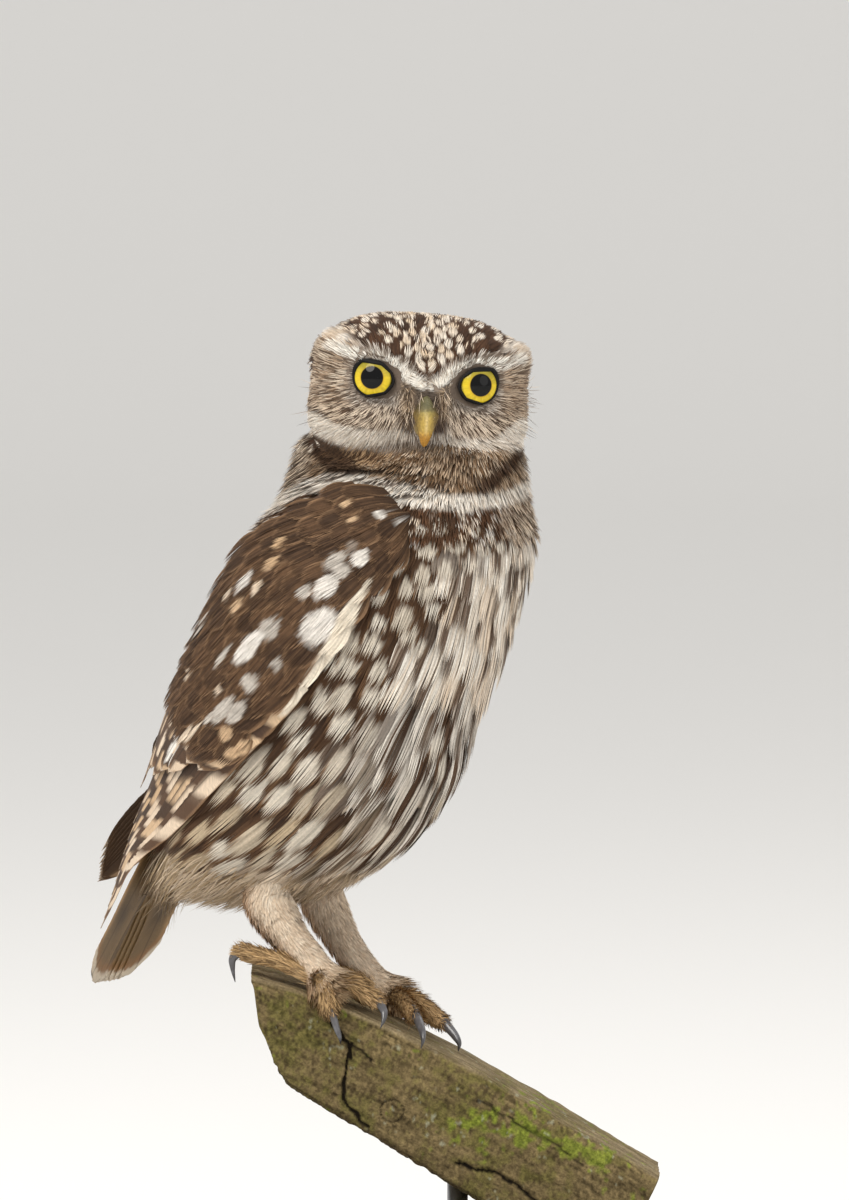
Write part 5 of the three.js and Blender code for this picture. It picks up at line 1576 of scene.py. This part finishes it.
def perchPoint(u, v):
    # Between the upper and the lower outline at u, round a soft-cornered section at v, tilted about its axis
    share = (0.5 + 0.5 * squared(np.sin(v)))[..., None]
    middle = curveThrough(perch["under"], u) * (1 - share) + curveThrough(perch["top"], u) * share
    x, _, z = np.moveaxis(middle, -1, 0)
    y, z = squared(np.cos(v)) * (perch["depth"] / 2), z - perch["axis"]
    c, s = math.cos(math.radians(perch["tilt"])), math.sin(math.radians(perch["tilt"]))
    return stack(x, y * c - z * s, y * s + z * c + perch["axis"])


def perchGrid():
    # The section's columns are spaced evenly round its outline
    fine = np.linspace(0, fullTurn, 40001)
    fine = fine - 0.25 * np.sin(4 * fine)
    run = np.hypot(*np.diff([squared(np.cos(fine)), squared(np.sin(fine))], axis=1))
    run = np.concatenate([[0], np.cumsum(run)])
    v = np.interp(np.linspace(0, run[-1], perch["columns"], endpoint=False), run, fine)
    return np.broadcast_arrays(np.linspace(0, 1, perch["rows"])[:, None], v)


def perchTint(at, grain, groove, facing, atEnd):
    # Olive brown wood with fine mottling, greener patches, bright moss low on the right, grey lichen, and
    # painted shade below and in the cracks
    x, _, z = at.T
    fine, mid, broad = wobble(at, 0.8, 120), wobble(at, 2.6, 121), wobble(at, 11, 122)
    green = ramp(-0.1, 0.6, 0.5 * mid + 0.5 * broad + 0.35 * fine)
    heart = np.exp(-(((x - 38) / 13) ** 2) - ((z - 58) / 7) ** 2) + 0.8 * np.exp(
        -(((x - 62) / 16) ** 2) - ((z - 50) / 5) ** 2)
    moss = ramp(0.45, 0.75, 0.45 * wobble(at, 4.0, 123) + 0.4 * wobble(at, 1.3, 124) + 0.75 * heart + 0.08)
    lichen = ramp(0.55, 0.75, 0.6 * wobble(at, 2.0, 125) + 0.4 * wobble(at, 0.9, 126) + 0.1 * (x > 5))
    topStrip = ramp(0.45, 0.8, facing) * (1 - 0.6 * green * ramp(0, 40, x))
    heartwood = shade((112, 92, 62)) * (1 + 0.3 * wobble(at, 1.1, 112)[:, None])
    return over((62, 52, 32), (138, 120, 84), np.clip(0.45 + 0.45 * fine + 0.5 * grain, 0, 1),
                over((66, 64, 28), (108, 104, 50), 0.5 + 0.5 * fine), 0.62 * green,
                over((92, 78, 56), (156, 140, 110), np.clip(0.5 + 0.7 * grain, 0, 1)), 0.85 * topStrip,
                over((82, 96, 26), (140, 154, 52), 0.5 + 0.5 * fine), 0.75 * moss,
                # Grey lichen, then painted shade that darkens the faces turning down
                (158, 160, 138), 0.5 * lichen, (52, 42, 26), 0.45 * ramp(0.2, -0.7, facing),
                # Painted shade in the cracks and round the knot, near black; then the heartwood on the broken
                # ends
                (26, 20, 12), ramp(0.2, 0.9, groove), heartwood, 0.6 * atEnd)


def makePerch():
    # The form is pressed in along its normal by grain, lumps, cracks, the knot and the broken end
    u, v = perchGrid()
    points = perchPoint(u, v)
    step = 1e-3
    along = perchPoint(np.clip(u + step, 0, 1), v) - perchPoint(np.clip(u - step, 0, 1), v)
    normal = unit(np.cross(np.roll(points, -1, axis=1) - np.roll(points, 1, axis=1), along))
    if np.sum(normal * (points - points.mean(axis=1, keepdims=True))) < 0:
        normal = -normal
    x, y, z = np.moveaxis(points, -1, 0)
    facing = normal[..., 2]
    fibres = stack(points @ np.array([0.87, 0, -0.5]) / 7, y, z + 0.57 * x)
    grain = wobble(fibres, 1.3, 101) * 0.5 + wobble(fibres, 0.6, 102) * 0.5
    lumps = wobble(points, 9.0, 103) * 0.5 + wobble(points, 3.5, 104) * 0.5
    onSide = ramp(0.55, 0.9, np.abs(normal[..., 1]))
    strayX, strayZ = x + 0.9 * wobble(points, 3.0, 105), z + 0.9 * wobble(points, 3.0, 115)
    knotX, knotZ, knotSize = perch["knot"]
    ring = np.hypot(x - knotX, (z - knotZ) * 1.05) + 0.25 * wobble(points, 1.2, 116)
    groove = 0.6 * ramp(0.5, 0.1, np.abs(ring - knotSize)) + 0.25 * ramp(0.4, 0.1, np.abs(ring - 1.5))
    for line, deep in perch["cracks"]:
        groove = np.maximum(groove, deep * ramp(0.75, 0.15, nearLine(line, strayX, strayZ)))
    groove = groove * onSide
    rough = np.clip(ramp(-18, -34, x) + 0.6 * ramp(0.15, -0.5, facing) * ramp(0.9, 0.5, onSide), 0, 1)
    broken = np.clip(ramp(0.035, 0.0, u) * (0.8 + 0.8 * wobble(points, 2.5, 106)), 0, 2)
    inward = 0.3 + 0.3 * (1 - grain) + 0.4 * (1 - lumps) + groove + 0.6 * broken
    inward = inward + 0.6 * rough * (1 - wobble(points, 1.5, 113))
    points = points - normal * (inward * (1 - 0.6 * ramp(0.3, 0.9, facing) * ramp(40, 25, x)))[..., None]
    shares = perch["ends"][:, None, None]
    start, end = (points[k].mean(axis=0) + (points[k] - points[k].mean(axis=0)) * shares for k in (0, -1))
    start[..., 0] += 0.8 * wobble(start, 2.2, 107) * (1 - shares[..., 0])
    at, faces = gridMesh(np.concatenate([start[::-1], points, end]))
    rounds = len(shares)
    around = (rounds, rounds), (0, 0)
    grain, groove, facing = (np.pad(value, around, "edge").ravel() for value in (grain, groove, facing))
    atEnd = np.pad(0 * u, around, constant_values=1).ravel()
    tint = np.clip(perchTint(at, grain, groove, facing, atEnd), 0, 1)
    at = (at + place["lift"] * upwards) * millimetre
    addPiece("weatheredPerch", at, faces, woodFinish, ["perch"], tint)


makePerch()

# Stand

stand = {
    "length": 176.0,
    "width": 118.0,
    "corner": 22.0,
    "thickness": 10.0,
    "edge": 1.5,
    "rods": (24.0, 60.0),
    "rodRadius": 3.0,
}


def overNoise(tree, scale, values):
    # Noise over the piece's own places, drawn out by a scale for each axis
    where = addNode(tree, "TexCoord").outputs["Object"]
    where = addNode(tree, "Mapping", {"Scale": scale, "Vector": where}).outputs["Vector"]
    return addNode(tree, "TexNoise", {**values, "Vector": where}).outputs["Fac"]


def woodGrainFinish():
    material, tree, shader = newMaterial("darkWalnut", {"Roughness": 0.42, "Coat Weight": 0.25})
    noise = overNoise(tree, (6.0, 60.0, 60.0), {"Scale": 3.0, "Detail": 6, "Distortion": 0.8})
    grain = addNode(tree, "ValToRGB", {"Fac": noise})
    ends = ((0.35, (0.018, 0.009, 0.005, 1)), (0.7, (0.075, 0.036, 0.018, 1)))
    for element, (position, value) in zip(grain.color_ramp.elements, ends):
        element.position = position
        element.color = value
    tree.links.new(grain.outputs["Color"], shader["Base Color"])
    addBump(tree, shader, noise, 0.15, 0.0003)
    return material


def steelFinish():
    values = {"Metallic": 1.0, "Base Color": (0.5, 0.51, 0.53, 1)}
    material, tree, shader = newMaterial("brushedSteel", values)
    noise = overNoise(tree, (30.0, 30.0, 900.0), {"Scale": 4.0})
    level = addNode(tree, "MapRange", {"To Min": 0.25, "To Max": 0.45, "Value": noise})
    tree.links.new(level.outputs["Result"], shader["Roughness"])
    return material


def makeStand():
    # The base: a rounded outline drawn in along its upper and lower edges, closed by rings towards its middle
    turn = circle(160)
    edge, thick = stand["edge"], stand["thickness"]
    radius = stand["corner"] - edge
    cornerX = np.sign(np.cos(turn)) * (stand["length"] / 2 - stand["corner"])
    cornerY = np.sign(np.sin(turn)) * (stand["width"] / 2 - stand["corner"])
    bend = np.linspace(0, np.pi / 2, 7)
    rounded = [(0.0, radius)]
    rounded += [(edge * (1 - math.sin(np.pi / 2 - b)), radius + edge * math.sin(b)) for b in bend]
    rounded += [(thick - edge + edge * math.sin(b), radius + edge * math.cos(b)) for b in bend]
    rings = [stack(cornerX + r * np.cos(turn), cornerY + r * np.sin(turn), z) for z, r in rounded]
    inner = np.array([0.6, 0.25, 0.002])[:, None, None]
    top = thick * upwards
    points, faces = gridMesh(np.concatenate([rings[0] * inner[::-1], rings, (rings[-1] - top) * inner + top]))
    addPiece("displayBase", points * millimetre, faces, woodGrainFinish(), ["stand_base"])
    steel = steelFinish()
    level = curveThrough(perch["under"], np.linspace(0, 1, 200))
    turn, foot = circle(40), stand["rodRadius"]
    for number, x in enumerate(stand["rods"]):
        height = np.interp(x, level[:, 0], level[:, 2]) + place["lift"] + 2.5 - thick
        outline = [(0, 0.01), (0, 4.6), (0.6, 5.2), (1.6, 5.2), (2.2, 4.6), (2.3, foot),
                   (height - 0.3, foot), (height, 0.01)]
        rings = [stack(x + r * np.cos(turn), r * np.sin(turn), thick + z) for z, r in outline]
        points, faces = gridMesh(np.array(rings))
        addPiece(f"rod{number + 1}", points * millimetre, faces, steel, [f"stand_rod_{number + 1}"])


makeStand()

# Floor, lights and camera

studio = {
    "distance": 4.0,  # metres from the camera to the owl
    "elevation": 2.5,
    "lookAt": Vector((0.0144, 0.0, 0.218)),
    "lens": 413.8,
    "worldLight": 0.74,
    "floor": {"width": 18.0, "near": -8.0, "far": 6.5, "sweep": 1.8, "wall": 7.0},
    "lamps": {  # place, size, power and colour
        "keyLight": ((-0.9, -1.5, 2.0), 1.6, 46.0, (1.0, 0.97, 0.92)),
        "fillLight": ((1.8, -1.4, 0.9), 1.8, 8.0, (1.0, 0.98, 0.95)),
        "topLight": ((0.3, 0.9, 2.2), 1.4, 8.0, (1.0, 1.0, 1.0)),
    },
}


def addFloor(width, near, far, sweep, wall):
    # A level floor that curves up into a wall behind
    turn = np.linspace(0, np.pi / 2, 24)
    y = np.concatenate([[near], far + sweep * np.sin(turn), [far + sweep]])
    z = np.concatenate([[0], sweep * (1 - np.cos(turn)), [wall]])
    points = stack(np.array([-0.5, 0.5]) * width, y[:, None], z[:, None]).reshape(-1, 3)
    mesh = bpy.data.meshes.new("floor")
    mesh.from_pydata(points.tolist(), [], gridFaces(len(y), 2, False).tolist())
    mesh.polygons.foreach_set("use_smooth", np.ones(len(mesh.polygons), bool))
    floor = link("floor", mesh)
    paper = {"Base Color": (0.88, 0.875, 0.865, 1), "Roughness": 0.9}
    mesh.materials.append(newMaterial("palePaper", paper)[0])


def addStudio():
    addFloor(**studio["floor"])
    world = bpy.data.worlds.new("softLight")
    world.use_nodes = True
    sky = world.node_tree.nodes["Background"].inputs
    sky["Color"].default_value = (1.0, 0.985, 0.96, 1)
    sky["Strength"].default_value = studio["worldLight"]
    scene.world = world
    for name, (at, size, power, warmth) in studio["lamps"].items():
        lamp = bpy.data.lights.new(name, "AREA")
        lamp.shape = "DISK"
        lamp.size = size
        lamp.energy = power
        lamp.color = warmth
        holder = link(name, lamp)
        holder.location = at
        holder.rotation_euler = (studio["lookAt"] - Vector(at)).to_track_quat("-Z", "Y").to_euler()
    camera = bpy.data.cameras.new("camera")
    camera.lens = studio["lens"]
    camera.sensor_width = 36.0
    camera.clip_end = 30
    holder = link("camera", camera)
    rise = math.radians(studio["elevation"])
    holder.location = studio["lookAt"] + studio["distance"] * Vector((0, -math.cos(rise), math.sin(rise)))
    holder.rotation_euler = (math.pi / 2 - rise, 0, 0)
    scene.camera = holder
    scene.view_settings.view_transform = "Standard"


addStudio()
